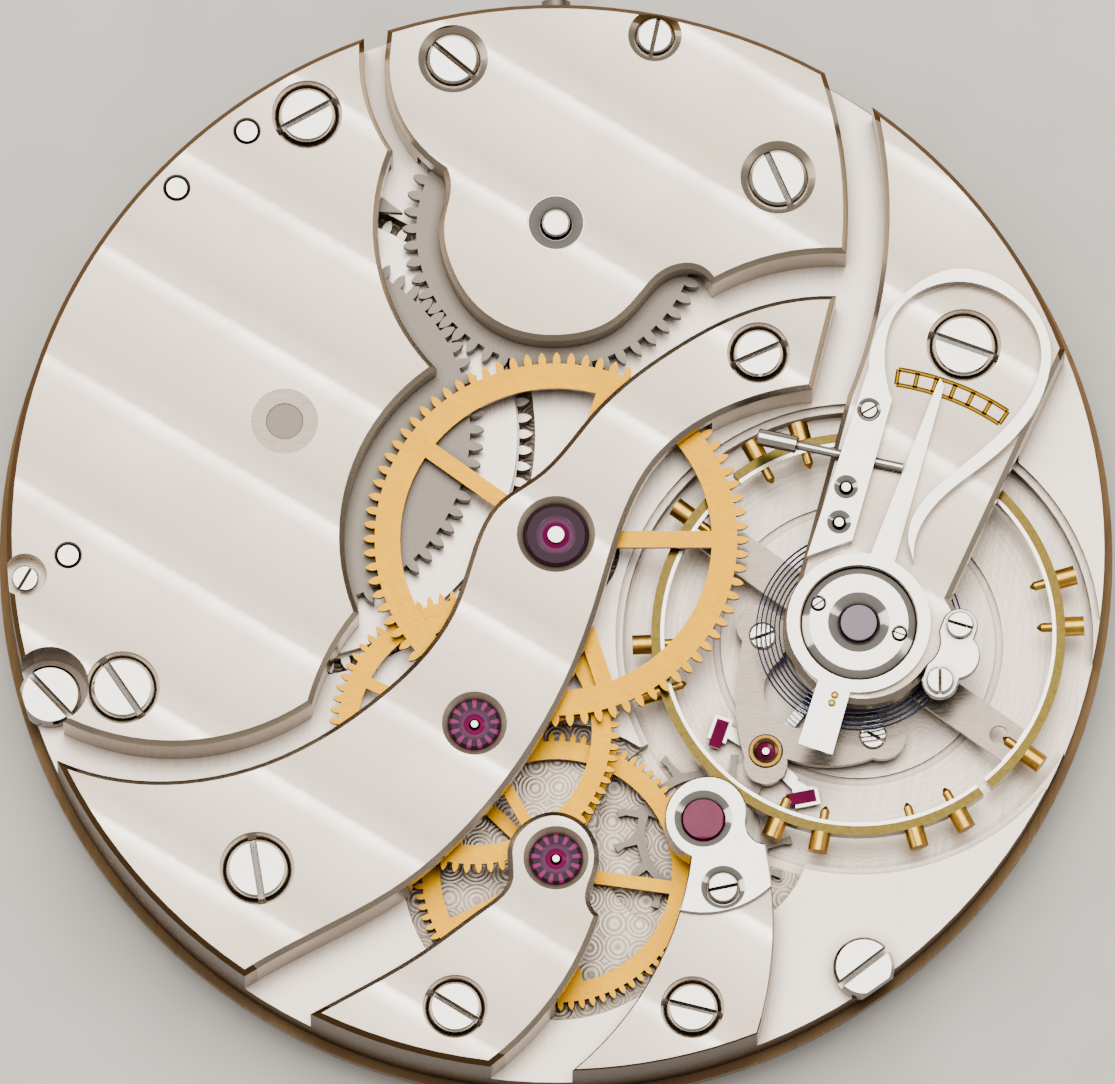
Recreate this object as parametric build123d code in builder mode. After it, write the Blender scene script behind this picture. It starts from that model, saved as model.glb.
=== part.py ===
from build123d import *
from math import atan2, cos, degrees, hypot, radians, sin
import os

os.makedirs("parts", exist_ok=True)

# Millimetres. The dial seat is z = 0, the bridges are above it, the stem points along +Y.
# The centre of the movement is the axis of the centre wheel.

# Overall sizes
movement_diameter = 38.35
bridge_side_diameter = 37.74
cock_side_diameter = 37.4
plate_thickness = 1.6
flange_height = 0.4
bridge_height = 2.0
overrun = 0.5
running_clearance = 0.02
air_gap = 0.1
edge_bevel = 0.08
bridge_bevel = 0.18
press_gap = 0.005
steel_bevel = 0.05

# Where the bridges are seen in the photograph, in its pixels
photo_width_pixels = 1112.5
photo_centre_pixels = (556.0, 559.3)
photo_rise_share = 0.2419
photo_squash_share = 1.0306

pixel = movement_diameter / photo_width_pixels
row = pixel * photo_squash_share


def spot(point, height):
    """The place of a photograph pixel on a surface at the given height."""
    rise = photo_rise_share * height / pixel
    return ((point[0] - photo_centre_pixels[0]) * pixel,
            (photo_centre_pixels[1] - point[1] - rise) * row)


def trace(start, runs, height):
    """A closed outline: a run of one point is a line, of two an arc, of more a curve."""
    first = spot(start, height)
    here = first
    for run in runs:
        points = [spot(point, height) for point in run]
        if len(points) == 1:
            Line(here, points[0])
        elif len(points) == 2:
            ThreePointArc(here, points[0], points[1])
        else:
            Spline(here, *points)
        here = points[-1]
    Line(here, first)


def outline(start, runs, seen_at, height):
    """The face inside a traced outline, laid at a height."""
    with BuildSketch(Plane.XY.offset(height)) as face:
        with BuildLine():
            trace(start, runs, seen_at)
        make_face()
    return face.sketch


seated = (Align.CENTER, Align.CENTER, Align.MIN)


def turn(axis, low, high, radius, mode=Mode.ADD):
    """A turned length on an upright axis."""
    with Locations((axis[0], axis[1], low)):
        Cylinder(radius, high - low, align=seated, mode=mode)


def cone(axis, low, high, low_radius, high_radius, mode=Mode.ADD):
    """A turned taper on an upright axis."""
    with Locations((axis[0], axis[1], low)):
        Cone(low_radius, high_radius, high - low, align=seated, mode=mode)


def along(origin, distance, angle):
    """The point at a distance and an angle in degrees from another point."""
    return (origin[0] + distance * cos(radians(angle)),
            origin[1] + distance * sin(radians(angle)))


def bearing(origin, target):
    """The angle in degrees from one axis to another."""
    return degrees(atan2(target[1] - origin[1], target[0] - origin[0]))


def apart(one, other):
    """The distance between two points of a level plane."""
    return hypot(other[0] - one[0], other[1] - one[1])


# Tooth counts of the going train, the winding train and the motion work
barrel_teeth = 90
centre_leaves = 20
centre_teeth = 80
third_leaves = 10
third_teeth = 75
fourth_leaves = 10
fourth_teeth = 80
escape_leaves = 8
escape_teeth = 15
ratchet_teeth = 68
crown_teeth = 52
winding_leaves = 10
cannon_leaves = 10
minute_teeth = 30
minute_leaves = 8
hour_teeth = 32
idler_teeth = 18
setting_teeth = 22

# Modules, the pitch diameter over the tooth count
barrel_module = 0.18458
centre_module = 0.16104
third_module = 0.12958
fourth_module = 0.11905
winding_module = 0.195
motion_module = 0.16

# Directions from one axis to the next, in degrees
barrel_direction = 156.8
third_direction = -112.7
fourth_direction = -59.487
escape_direction = 15.39
pallet_direction = 53.0
balance_direction = 51.33
minute_direction = 90.0

# Axes
centre = (0, 0)
barrel = along(centre, barrel_module * (barrel_teeth + centre_leaves) / 2, barrel_direction)
third = along(centre, centre_module * (centre_teeth + third_leaves) / 2, third_direction)
fourth = along(third, third_module * (third_teeth + fourth_leaves) / 2, fourth_direction)
escape = along(fourth, fourth_module * (fourth_teeth + escape_leaves) / 2, escape_direction)
escape_radius = 3.1
pallet_angle = 30.0
pallet = along(escape, escape_radius / cos(radians(pallet_angle)), pallet_direction)
lever_length = 5.095
balance = along(pallet, lever_length, balance_direction)
crown_offset = winding_module * (ratchet_teeth + crown_teeth) / 2
crown = (0, barrel[1] + (crown_offset ** 2 - barrel[0] ** 2) ** 0.5)
minute = along(centre, motion_module * (cannon_leaves + minute_teeth) / 2, minute_direction)
idler = (0, minute[1] + motion_module * (minute_teeth + idler_teeth) / 2)
setting = (0, idler[1] + motion_module * (idler_teeth + setting_teeth) / 2)

# Heights, counted up from the dial seat
plate_top = plate_thickness
bridge_top = plate_top + bridge_height
ceiling_height = 1.4
bridge_roof = plate_top + ceiling_height
motion_ceiling = 0.45
barrel_floor = 0.7
balance_floor = 0.7
fourth_floor = 1.12
escape_floor = 0.8
barrel_low = 0.8
barrel_high = 1.8
barrel_ring_low = 0.95
barrel_ring_high = 1.35
centre_leaf_low = 0.86
centre_leaf_high = 1.45
centre_wheel_low = 2.66
third_leaf_low = 2.56
third_leaf_high = 2.94
third_wheel_low = 2.24
fourth_leaf_low = 2.12
fourth_leaf_high = 2.52
fourth_wheel_low = 1.34
escape_leaf_low = 1.26
escape_leaf_high = 1.66
escape_wheel_low = 0.98
escape_wheel_thickness = 0.15
train_wheel_thickness = 0.2
winding_wheel_low = 2.08
winding_wheel_high = 2.48
cock_low = 2.85
cock_top = 3.7
escape_cock_top = 3.4
escape_head_low = 2.42
stem_height = 1.0


def mesh_phase(axis, phase, teeth, mate, mate_teeth):
    """The angle of a mate's tooth that puts it in mesh with a wheel's teeth."""
    line = bearing(axis, mate)
    lead = (phase - line) * teeth / mate_teeth
    return line + 180 - lead + 180 / mate_teeth


# Tooth shape, as shares of the module
addendum_share = 1.15
dedendum_share = 1.3
leaf_addendum_share = 0.9
leaf_dedendum_share = 1.35
tooth_width_share = 0.47
leaf_width_share = 0.4
tooth_tip_share = 0.1


def toothed_face(plane, teeth, module, phase, leaf=False):
    """A wheel or pinion with slender rounded teeth."""
    pitch_radius = teeth * module / 2
    tip = pitch_radius + module * (leaf_addendum_share if leaf else addendum_share)
    root = pitch_radius - module * (leaf_dedendum_share if leaf else dedendum_share)
    half = 180 / teeth * (leaf_width_share if leaf else tooth_width_share)
    shoulder = half * pitch_radius / root
    point = half * tooth_tip_share
    with BuildSketch(plane) as face:
        with BuildLine():
            for tooth in range(teeth):
                angle = phase + tooth * 360 / teeth
                following = angle + 360 / teeth
                low = along(centre, root, angle - shoulder)
                high = along(centre, root, angle + shoulder)
                near = along(centre, tip, angle - point)
                far = along(centre, tip, angle + point)
                ThreePointArc(low, along(centre, pitch_radius, angle - half), near)
                Line(near, far)
                ThreePointArc(far, along(centre, pitch_radius, angle + half), high)
                Line(high, along(centre, root, following - shoulder))
        make_face()
    return face.sketch


def level(axis, height):
    """The level plane at a height, centred on an upright axis."""
    return Plane((axis[0], axis[1], height))


def windows(axis, height, rim, hub, spokes, width, start):
    """The openings between the spokes of a wheel."""
    with BuildSketch(level(axis, height)) as face:
        Circle(rim)
        Circle(hub, mode=Mode.SUBTRACT)
        with PolarLocations(0, spokes, start_angle=start):
            Rectangle(rim, width, align=(Align.MIN, Align.CENTER), mode=Mode.SUBTRACT)
    return face.sketch


def finish(piece, name):
    """Name a finished piece and write it."""
    piece.part.label = name
    export_step(piece.part, "parts/" + name + ".step")


# Screws of the bridges: place in pixels, slot direction, head radius, radius of the polished
# taper round the head, and the slope of that taper
steep = 1.0
shallow = 0.5
screw_places_pixels = {
    "barrel_bridge": [((307, 114.5), 29, 0.955, 1.22, steep),
                      ((124.7, 686.8), -56, 1.065, 1.28, steep)],
    "winding_bridge": [((453, 58.5), -40, 0.88, 1.21, shallow),
                       ((778, 177.4), -66, 0.98, 1.3, shallow)],
    "train_bridge": [((758, 353), 24, 0.83, 1.086, steep),
                     ((258.9, 866.2), -81, 1.035, 1.29, steep)],
    "seconds_bridge": [((455.9, 1003), -32, 0.88, 1.117, steep)],
    "escape_cock": [((691.4, 1003.9), -14, 0.848, 1.096, steep)],
    "balance_cock": [((962.9, 345.6), -20, 1.065, 1.29, steep)],
}
bridge_screw_head_height = 0.55
bridge_screw_shank = 0.5
bridge_screw_length = 2.6
head_gap = 0.03
slot_share = 0.25
slot_depth = 0.25
small_screw_head = 0.46
small_screw_head_height = 0.3
small_screw_shank = 0.22
small_screw_gap = 0.04
end_screw_taper = 0.93
pin_taper = 0.48
neck_taper = 0.42
cap_post_head = 0.2
cap_post_taper = 0.29
cap_post_shank = 0.12
cap_post_head_height = 0.15
end_screw_pixels = (655, 35)
end_screw_head = 0.62
end_screw_shank = 0.35
end_screw_slot = 78
rim_screw_pixels = (27, 578)
rim_screw_top = 3.15
rim_screw_room = 0.76
rim_screw_slot = 60
pin_places_pixels = [(247, 131), (177, 188), (70, 555)]
pin_radius = 0.36
pin_low = 2.6
pallet_screw_places_pixels = [((762, 636), 20), ((872, 735), -30)]
pallet_bridge_top = 1.56
balance_screw_places_pixels = [((817, 603), 35), ((898, 633), -20)]
neck_screw_pixels = (868, 410)
neck_screw_slot = 30
neck_screw_head = 0.28
neck_screw_shank = 0.16
neck_pin_places_pixels = [(845, 487), (838, 522)]
neck_pin_radius = 0.16
carrier_screw_pixels = (958, 627)
carrier_screw_slot = -17
stud_screw_pixels = (938, 682)
stud_screw_slot = 90
balance_cap_top = 3.95
neck_top = 4.2
neck_screw_place = spot(neck_screw_pixels, neck_top)
neck_pin_places = [spot(place, neck_top) for place in neck_pin_places_pixels]
carrier_screw_place = spot(carrier_screw_pixels, cock_top)
stud_place = spot(stud_screw_pixels, cock_top)
balance_screw_places = [spot(place, balance_cap_top)
                        for place, slot_angle in balance_screw_places_pixels]


def screw(place, top, head, head_height, shank, length, slot_angle):
    """A cheese-head screw with a bevelled edge and a cut slot."""
    rim = head / 10
    turn(place, top - length, top - head_height, shank)
    turn(place, top - head_height, top - rim, head)
    cone(place, top - rim, top, head, head - rim)
    with Locations(Location((place[0], place[1], top - slot_depth), (0, 0, slot_angle))):
        Box(2 * head + overrun, head * slot_share, slot_depth + overrun, align=seated,
            mode=Mode.SUBTRACT)


def screw_seat(place, top, head, head_height, shank, low):
    """The counterbore and the hole of a screw, cut through a bridge."""
    turn(place, low - overrun, top, shank + running_clearance, Mode.SUBTRACT)
    turn(place, top - head_height, top + overrun, head, Mode.SUBTRACT)


def sink(place, top, inner, outer, slope=steep):
    """The polished taper round the mouth of a hole."""
    cone(place, top - (outer - inner) * slope, top, inner, outer, Mode.SUBTRACT)


def bridge_seats(name, top, low):
    """The screw seats of one bridge."""
    for place, slot_angle, head, taper, slope in screw_places_pixels[name]:
        screw_seat(spot(place, top), top, head + head_gap, bridge_screw_head_height,
                   bridge_screw_shank, low)
        sink(spot(place, top), top, head + head_gap, taper, slope)


# Upper bearings: jewel radius, thickness and polished sink, for each arbor
centre_jewel = 1.1
train_jewel = 0.87
escape_jewel = 0.7
jewel_thickness = 0.35
jewel_depth = 0.12
sink_width = 0.25
jewel_cup_share = 0.72
pivot = 0.12
centre_pivot = 0.28
seconds_pivot = 0.12
seconds_pivot_length = 1.3
seconds_shoulder = 0.2
fourth_lower_pivot = 0.28
fourth_arbor = 0.42
balance_pivot = 0.08
centre_arbor = 0.38
centre_arbor_low = -1.7
train_arbor = 0.31
lower_jewel = 0.75
lower_jewel_thickness = 0.28
pallet_jewel_radius = 0.5
cap_jewel_low = 0.05


def jewel_seat(axis, top, low, radius):
    """The hole of a jewel with its polished sink."""
    turn(axis, low - overrun, top + overrun, radius, Mode.SUBTRACT)
    sink(axis, top, radius, radius + sink_width)


def jewel(axis, low, high, radius, bore):
    """A hole jewel with a turned oil cup on its upper side."""
    depth = (high - low) / 2
    turn(axis, low, high, radius)
    cone(axis, high - depth, high, bore, radius * jewel_cup_share, Mode.SUBTRACT)
    turn(axis, low, high, bore, Mode.SUBTRACT)


# Recesses of the main plate
barrel_pocket = 8.62
balance_pocket = 8.1
balance_step = 8.35
balance_step_depth = 0.25
groove_inner = 4.72
groove_outer = 5.0
groove_depth = 0.12
fourth_pocket = 5.25
escape_pocket = 3.7
centre_well = 2.2
idler_recess = 1.75
setting_recess = 2.1
minute_recess = 2.95
stem_bore = 0.53
clutch_room = 1.15
clutch_outer = 16.15
clutch_inner = 11.1
stem_tail_bore = 0.32
stem_tail_depth = 1.6
lever_ceiling = 0.32
lever_post = (2.2, 17.45)
lever_room = (3.5, 2.0)
lever_slot = (0.7, 1.4)
yoke_post = (-3.2, 14.07)
yoke_room = (3.0, 1.9)
lever_post_radius = 0.25
lever_post_depth = 0.9
motion_post = 0.25
motion_post_seat = 0.3
motion_post_depth = 0.6
dial_foot_radius = 0.45
dial_foot_depth = 1.0
dial_foot_ring = 17.3
dial_foot_directions = (38.0, 158.0, 278.0)

# Barrel sizes
barrel_drum = 8.0
barrel_wall = 0.35
barrel_base = 0.2
barrel_cover_thickness = 0.2
barrel_core = 1.35
barrel_arbor = 0.62
arbor_square = 1.24

# Case screws: place in pixels, slot direction
case_screw_places_pixels = [((52, 694), -47), ((862, 964), 38)]
case_screw_head = 1.05
case_screw_head_height = 0.6
case_screw_shank = 0.4
case_screw_reach = 19.1
case_screw_length = 2.1
case_screw_top = 2.2
case_screw_room = 1.35

plate_rim = movement_diameter / 2
bridge_rim = bridge_side_diameter / 2

with BuildPart() as main_plate:
    turn(centre, 0, flange_height, plate_rim)
    turn(centre, flange_height, plate_top, bridge_rim)
    turn(barrel, barrel_floor, plate_top + overrun, barrel_pocket, Mode.SUBTRACT)
    turn(balance, balance_floor, plate_top + overrun, balance_pocket, Mode.SUBTRACT)
    turn(balance, plate_top - balance_step_depth, plate_top + overrun, balance_step, Mode.SUBTRACT)
    with BuildSketch(Plane((balance[0], balance[1], balance_floor - groove_depth))):
        Circle(groove_outer)
        Circle(groove_inner, mode=Mode.SUBTRACT)
    extrude(amount=groove_depth + overrun, mode=Mode.SUBTRACT)
    turn(fourth, fourth_floor, plate_top + overrun, fourth_pocket, Mode.SUBTRACT)
    turn(escape, escape_floor, plate_top + overrun, escape_pocket, Mode.SUBTRACT)
    turn(centre, centre_leaf_low - air_gap, plate_top + overrun, centre_well, Mode.SUBTRACT)
    # Motion work and setting wheels run in a recess of the dial side
    turn(centre, -overrun, motion_ceiling, minute_recess, Mode.SUBTRACT)
    turn(minute, -overrun, motion_ceiling, minute_recess, Mode.SUBTRACT)
    turn(idler, -overrun, motion_ceiling, idler_recess, Mode.SUBTRACT)
    turn(setting, -overrun, motion_ceiling, setting_recess, Mode.SUBTRACT)
    # Room for the winding and sliding pinions, the stem hole and the bearing of its tail
    with Locations((0, clutch_inner, -overrun)):
        Box(2 * clutch_room, clutch_outer - clutch_inner, plate_top + 2 * overrun,
            align=(Align.CENTER, Align.MIN, Align.MIN), mode=Mode.SUBTRACT)
    with BuildSketch(Plane((0, clutch_inner - stem_tail_depth, stem_height), z_dir=(0, 1, 0))):
        Circle(stem_tail_bore)
    extrude(amount=stem_tail_depth + overrun, mode=Mode.SUBTRACT)
    with BuildSketch(Plane((0, clutch_outer - overrun, stem_height), z_dir=(0, 1, 0))):
        Circle(stem_bore)
    extrude(amount=plate_rim, mode=Mode.SUBTRACT)
    # Holes of the lower bearings
    turn(barrel, -overrun, barrel_floor + overrun, barrel_arbor + running_clearance, Mode.SUBTRACT)
    turn(centre, motion_ceiling - overrun, plate_top, lower_jewel, Mode.SUBTRACT)
    turn(third, -overrun, plate_top + overrun, lower_jewel, Mode.SUBTRACT)
    turn(fourth, -overrun, plate_top, lower_jewel, Mode.SUBTRACT)
    turn(escape, -overrun, plate_top, escape_jewel, Mode.SUBTRACT)
    turn(pallet, -overrun, plate_top, escape_jewel, Mode.SUBTRACT)
    turn(balance, -overrun, plate_top, escape_jewel, Mode.SUBTRACT)
    # Holes for the feet of the dial
    for direction in dial_foot_directions:
        turn(along(centre, dial_foot_ring, direction), -overrun, dial_foot_depth,
             dial_foot_radius, Mode.SUBTRACT)
    # Tapped holes under the bridge screws, and the case screws
    for name, places in screw_places_pixels.items():
        top = cock_top if name == "balance_cock" else bridge_top
        top = escape_cock_top if name == "escape_cock" else top
        for place, *details in places:
            turn(spot(place, top), top - bridge_screw_length - air_gap, plate_top + overrun,
                 bridge_screw_shank + running_clearance, Mode.SUBTRACT)
    for place, slot_angle in case_screw_places_pixels:
        turn(spot(place, case_screw_top), -overrun, plate_top + overrun,
             case_screw_shank + running_clearance, Mode.SUBTRACT)
    turn(spot(end_screw_pixels, bridge_top), bridge_top - bridge_screw_length, plate_top + overrun,
         end_screw_shank + running_clearance, Mode.SUBTRACT)
    for place, slot_angle in pallet_screw_places_pixels:
        turn(spot(place, pallet_bridge_top), air_gap, plate_top,
             small_screw_shank + running_clearance, Mode.SUBTRACT)
    # Recesses and post holes of the setting lever, the yoke and the motion work
    with Locations((lever_post[0] + lever_post_radius * 3, lever_post[1], -overrun)):
        Box(lever_room[0], lever_room[1], lever_ceiling + overrun,
            align=(Align.MAX, Align.CENTER, Align.MIN), mode=Mode.SUBTRACT)
    with Locations((0, lever_post[1], 0)):
        Box(lever_slot[0], lever_slot[1], stem_height, align=(Align.CENTER, Align.CENTER, Align.MIN),
            mode=Mode.SUBTRACT)
    with Locations((yoke_post[0] - lever_post_radius * 3, yoke_post[1], -overrun)):
        Box(yoke_room[0], yoke_room[1], lever_ceiling + overrun,
            align=(Align.MIN, Align.CENTER, Align.MIN), mode=Mode.SUBTRACT)
    for post in (lever_post, yoke_post):
        turn(post, 0, lever_post_depth, lever_post_radius + press_gap, Mode.SUBTRACT)
    for post in (minute, idler, setting):
        turn(post, 0, motion_post_depth, motion_post_seat + press_gap, Mode.SUBTRACT)
finish(main_plate, "main_plate")

# Bridge outlines, read from the photograph in its pixels
barrel_bridge_start_pixels = (364, -20)
barrel_bridge_pixels = [
    [(364, 55)],
    [(369, 98), (393, 150)],
    [(378, 232), (437, 368)],
    [(346, 515), (360, 612)],
    [(333, 652), (313, 703)],
    [(190, 744), (58, 716)],
    [(-60, 690)],
    [(-60, -60)],
]
winding_bridge_start_pixels = (392, -20)
winding_bridge_pixels = [
    [(386, 45)],
    [(395, 115), (443, 171)],
    [(446, 188), (440, 218), (447, 268), (475, 311), (516, 335), (562, 340), (610, 327),
     (642, 298), (664, 275), (690, 268), (712, 284)],
    [(776, 259), (846, 253)],
    [(845, 160), (815, 45)],
    [(800, -40)],
]
train_bridge_start_pixels = (836, 295)
train_bridge_pixels = [
    [(745, 310), (668, 350), (590, 415), (537, 474), (500, 500), (456, 600), (375, 697),
     (255, 764), (130, 777), (30, 742)],
    [(-20, 720)],
    [(-20, 1080)],
    [(200, 1000)],
    [(244, 974)],
    [(330, 927), (400, 888), (460, 838), (520, 766), (565, 690), (600, 600), (622, 528),
     (660, 458), (740, 406), (812, 389)],
]
seconds_bridge_start_pixels = (300, 1016)
seconds_bridge_pixels = [
    [(360, 984), (425, 946), (480, 906), (508, 878), (508, 846), (527, 818), (554, 809),
     (583, 820), (598, 846), (596, 872), (590, 892), (599, 912)],
    [(560, 990), (487, 1064)],
    [(470, 1140)],
    [(270, 1080)],
]
escape_cock_start_pixels = (570, 1068)
escape_cock_pixels = [
    [(650, 975), (690, 856)],
    [(664, 816), (704, 776)],
    [(738, 790), (745, 820)],
    [(750, 836), (764, 843)],
    [(772, 940), (752, 1042)],
    [(750, 1120)],
    [(560, 1120)],
]
balance_cock_start_pixels = (872, 60)
balance_cock_pixels = [
    [(872, 105)],
    [(884, 230), (847, 395)],
    [(795, 585)],
    [(850, 702), (928, 668)],
    [(972, 640)],
    [(948, 598)],
    [(1066, 345)],
    [(1120, 330)],
    [(1120, 60)],
]

# Barrel bridge, over the barrel, its ratchet wheel and the left side of the crown wheel
ratchet_room = winding_module * ratchet_teeth / 2 + 2 * winding_module
crown_room = winding_module * crown_teeth / 2 + 2 * winding_module
centre_room = centre_module * centre_teeth / 2 + 2 * centre_module
third_room = third_module * third_teeth / 2 + 2 * third_module
fourth_room = fourth_module * fourth_teeth / 2 + 2 * fourth_module
bush_radius = 1.15
click_post = (-7.1, 12.4)
click_room = 1.75
click_shank = 0.25
click_screw_top = 3.1
crown_stud_radius = 1.0

with BuildPart() as barrel_bridge:
    extrude(outline(barrel_bridge_start_pixels, barrel_bridge_pixels, bridge_top, plate_top),
            amount=bridge_height)
    turn(centre, plate_top - overrun, bridge_top + overrun, bridge_rim, Mode.INTERSECT)
    chamfer(barrel_bridge.faces().sort_by(Axis.Z)[-1].outer_wire().edges(), bridge_bevel)
    turn(barrel, plate_top - overrun, barrel_high + air_gap, barrel_pocket, Mode.SUBTRACT)
    turn(barrel, plate_top - overrun, winding_wheel_high + air_gap, ratchet_room, Mode.SUBTRACT)
    turn(crown, plate_top - overrun, winding_wheel_high + air_gap, crown_room, Mode.SUBTRACT)
    turn(centre, plate_top - overrun, bridge_roof, centre_room, Mode.SUBTRACT)
    turn(third, plate_top - overrun, bridge_roof, third_room, Mode.SUBTRACT)
    turn(barrel, plate_top, bridge_top + overrun, bush_radius, Mode.SUBTRACT)
    turn(click_post, plate_top - overrun, winding_wheel_high + air_gap, click_room, Mode.SUBTRACT)
    turn(click_post, plate_top, click_screw_top, click_shank + press_gap, Mode.SUBTRACT)
    bridge_seats("barrel_bridge", bridge_top, plate_top)
    for place in pin_places_pixels:
        turn(spot(place, bridge_top), pin_low, bridge_top + overrun, pin_radius, Mode.SUBTRACT)
        sink(spot(place, bridge_top), bridge_top, pin_radius, pin_taper)
    screw_seat(spot(rim_screw_pixels, rim_screw_top), rim_screw_top, rim_screw_room,
               small_screw_head_height, small_screw_shank, plate_top)
    turn(spot(case_screw_places_pixels[0][0], case_screw_top), plate_top - overrun,
         bridge_top + overrun, case_screw_room, Mode.SUBTRACT)
finish(barrel_bridge, "barrel_bridge")

with BuildPart() as winding_bridge:
    extrude(outline(winding_bridge_start_pixels, winding_bridge_pixels, bridge_top, plate_top),
            amount=bridge_height)
    turn(centre, plate_top - overrun, bridge_top + overrun, bridge_rim, Mode.INTERSECT)
    chamfer(winding_bridge.faces().sort_by(Axis.Z)[-1].outer_wire().edges(), bridge_bevel)
    turn(crown, plate_top - overrun, winding_wheel_high + air_gap, crown_room, Mode.SUBTRACT)
    turn(barrel, plate_top - overrun, winding_wheel_high + air_gap, barrel_pocket, Mode.SUBTRACT)
    turn(centre, plate_top - overrun, bridge_roof, centre_room, Mode.SUBTRACT)
    turn(balance, plate_top - overrun, bridge_roof, balance_pocket, Mode.SUBTRACT)
    turn(crown, plate_top, bridge_top + overrun, crown_stud_radius, Mode.SUBTRACT)
    bridge_seats("winding_bridge", bridge_top, plate_top)
    screw_seat(spot(end_screw_pixels, bridge_top), bridge_top, end_screw_head + small_screw_gap,
               bridge_screw_head_height, end_screw_shank, plate_top)
    sink(spot(end_screw_pixels, bridge_top), bridge_top, end_screw_head + small_screw_gap,
         end_screw_taper, shallow)
finish(winding_bridge, "winding_bridge")

with BuildPart() as train_bridge:
    extrude(outline(train_bridge_start_pixels, train_bridge_pixels, bridge_top, plate_top),
            amount=bridge_height)
    turn(centre, plate_top - overrun, bridge_top + overrun, bridge_rim, Mode.INTERSECT)
    chamfer(train_bridge.faces().sort_by(Axis.Z)[-1].outer_wire().edges(), bridge_bevel)
    turn(centre, plate_top - overrun, bridge_roof, centre_room, Mode.SUBTRACT)
    turn(third, plate_top - overrun, bridge_roof, third_room, Mode.SUBTRACT)
    turn(fourth, plate_top - overrun, bridge_roof, fourth_room, Mode.SUBTRACT)
    turn(barrel, plate_top - overrun, barrel_high + air_gap, barrel_pocket, Mode.SUBTRACT)
    turn(crown, plate_top - overrun, winding_wheel_high + air_gap, crown_room, Mode.SUBTRACT)
    turn(balance, plate_top - overrun, bridge_roof, balance_step, Mode.SUBTRACT)
    jewel_seat(centre, bridge_top, bridge_roof, centre_jewel)
    jewel_seat(third, bridge_top, bridge_roof, train_jewel)
    bridge_seats("train_bridge", bridge_top, plate_top)
finish(train_bridge, "train_bridge")

with BuildPart() as seconds_bridge:
    extrude(outline(seconds_bridge_start_pixels, seconds_bridge_pixels, bridge_top, plate_top),
            amount=bridge_height)
    turn(centre, plate_top - overrun, bridge_top + overrun, bridge_rim, Mode.INTERSECT)
    chamfer(seconds_bridge.faces().sort_by(Axis.Z)[-1].outer_wire().edges(), bridge_bevel)
    turn(fourth, plate_top - overrun, bridge_roof, fourth_room, Mode.SUBTRACT)
    turn(third, plate_top - overrun, bridge_roof, third_room, Mode.SUBTRACT)
    turn(escape, plate_top - overrun, bridge_roof, escape_pocket, Mode.SUBTRACT)
    jewel_seat(fourth, bridge_top, bridge_roof, train_jewel)
    bridge_seats("seconds_bridge", bridge_top, plate_top)
finish(seconds_bridge, "seconds_bridge")

# Escape cock with its lower head, and the polished cap plate on it
escape_cap_thickness = 0.16
escape_cap_reach = 3.35
escape_cock_thickness = escape_cock_top - plate_top
escape_cap_top = escape_cock_top + escape_cap_thickness
escape_cap_screw_pixels = (722, 885)
escape_cap_slot = 12
escape_cap_screw_head = 0.52
escape_cap_screw_taper = 0.76
escape_cap_taper = 1.0
escape_cap_slope = 0.5
escape_cap_screw = spot(escape_cap_screw_pixels, escape_cap_top)

with BuildPart() as escape_cock:
    extrude(outline(escape_cock_start_pixels, escape_cock_pixels, escape_cock_top, plate_top),
            amount=escape_cock_thickness)
    turn(centre, plate_top - overrun, bridge_top + overrun, bridge_rim, Mode.INTERSECT)
    chamfer(escape_cock.faces().sort_by(Axis.Z)[-1].outer_wire().edges(), steel_bevel)
    turn(fourth, plate_top - overrun, escape_head_low, fourth_room, Mode.SUBTRACT)
    turn(escape, plate_top - overrun, escape_head_low, escape_pocket, Mode.SUBTRACT)
    turn(balance, plate_top - overrun, escape_head_low, balance_step, Mode.SUBTRACT)
    turn(escape, plate_top, escape_cock_top + overrun, escape_jewel, Mode.SUBTRACT)
    bridge_seats("escape_cock", escape_cock_top, plate_top)
    screw_seat(escape_cap_screw, escape_cap_top, escape_cap_screw_head + small_screw_gap,
               small_screw_head_height, small_screw_shank, escape_head_low)
finish(escape_cock, "escape_cock")

with BuildPart() as escape_cap:
    extrude(outline(escape_cock_start_pixels, escape_cock_pixels, escape_cock_top,
                    escape_cock_top), amount=escape_cap_thickness)
    turn(escape, escape_cock_top - overrun, escape_cap_top + overrun, escape_cap_reach,
         Mode.INTERSECT)
    chamfer(escape_cap.faces().sort_by(Axis.Z)[-1].outer_wire().edges(), steel_bevel)
    turn(escape, escape_cock_top - overrun, escape_cap_top + overrun, escape_jewel, Mode.SUBTRACT)
    sink(escape, escape_cap_top, escape_jewel, escape_cap_taper, escape_cap_slope)
    turn(escape_cap_screw, escape_cock_top - overrun, escape_cap_top + overrun,
         escape_cap_screw_head + small_screw_gap, Mode.SUBTRACT)
    sink(escape_cap_screw, escape_cap_top, escape_cap_screw_head + small_screw_gap,
         escape_cap_screw_taper, shallow)
finish(escape_cap, "escape_cap")

# Balance cock, a foot at the edge and a long arm over the balance
cock_rim = cock_side_diameter / 2
balance_jewel = 0.62

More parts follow.
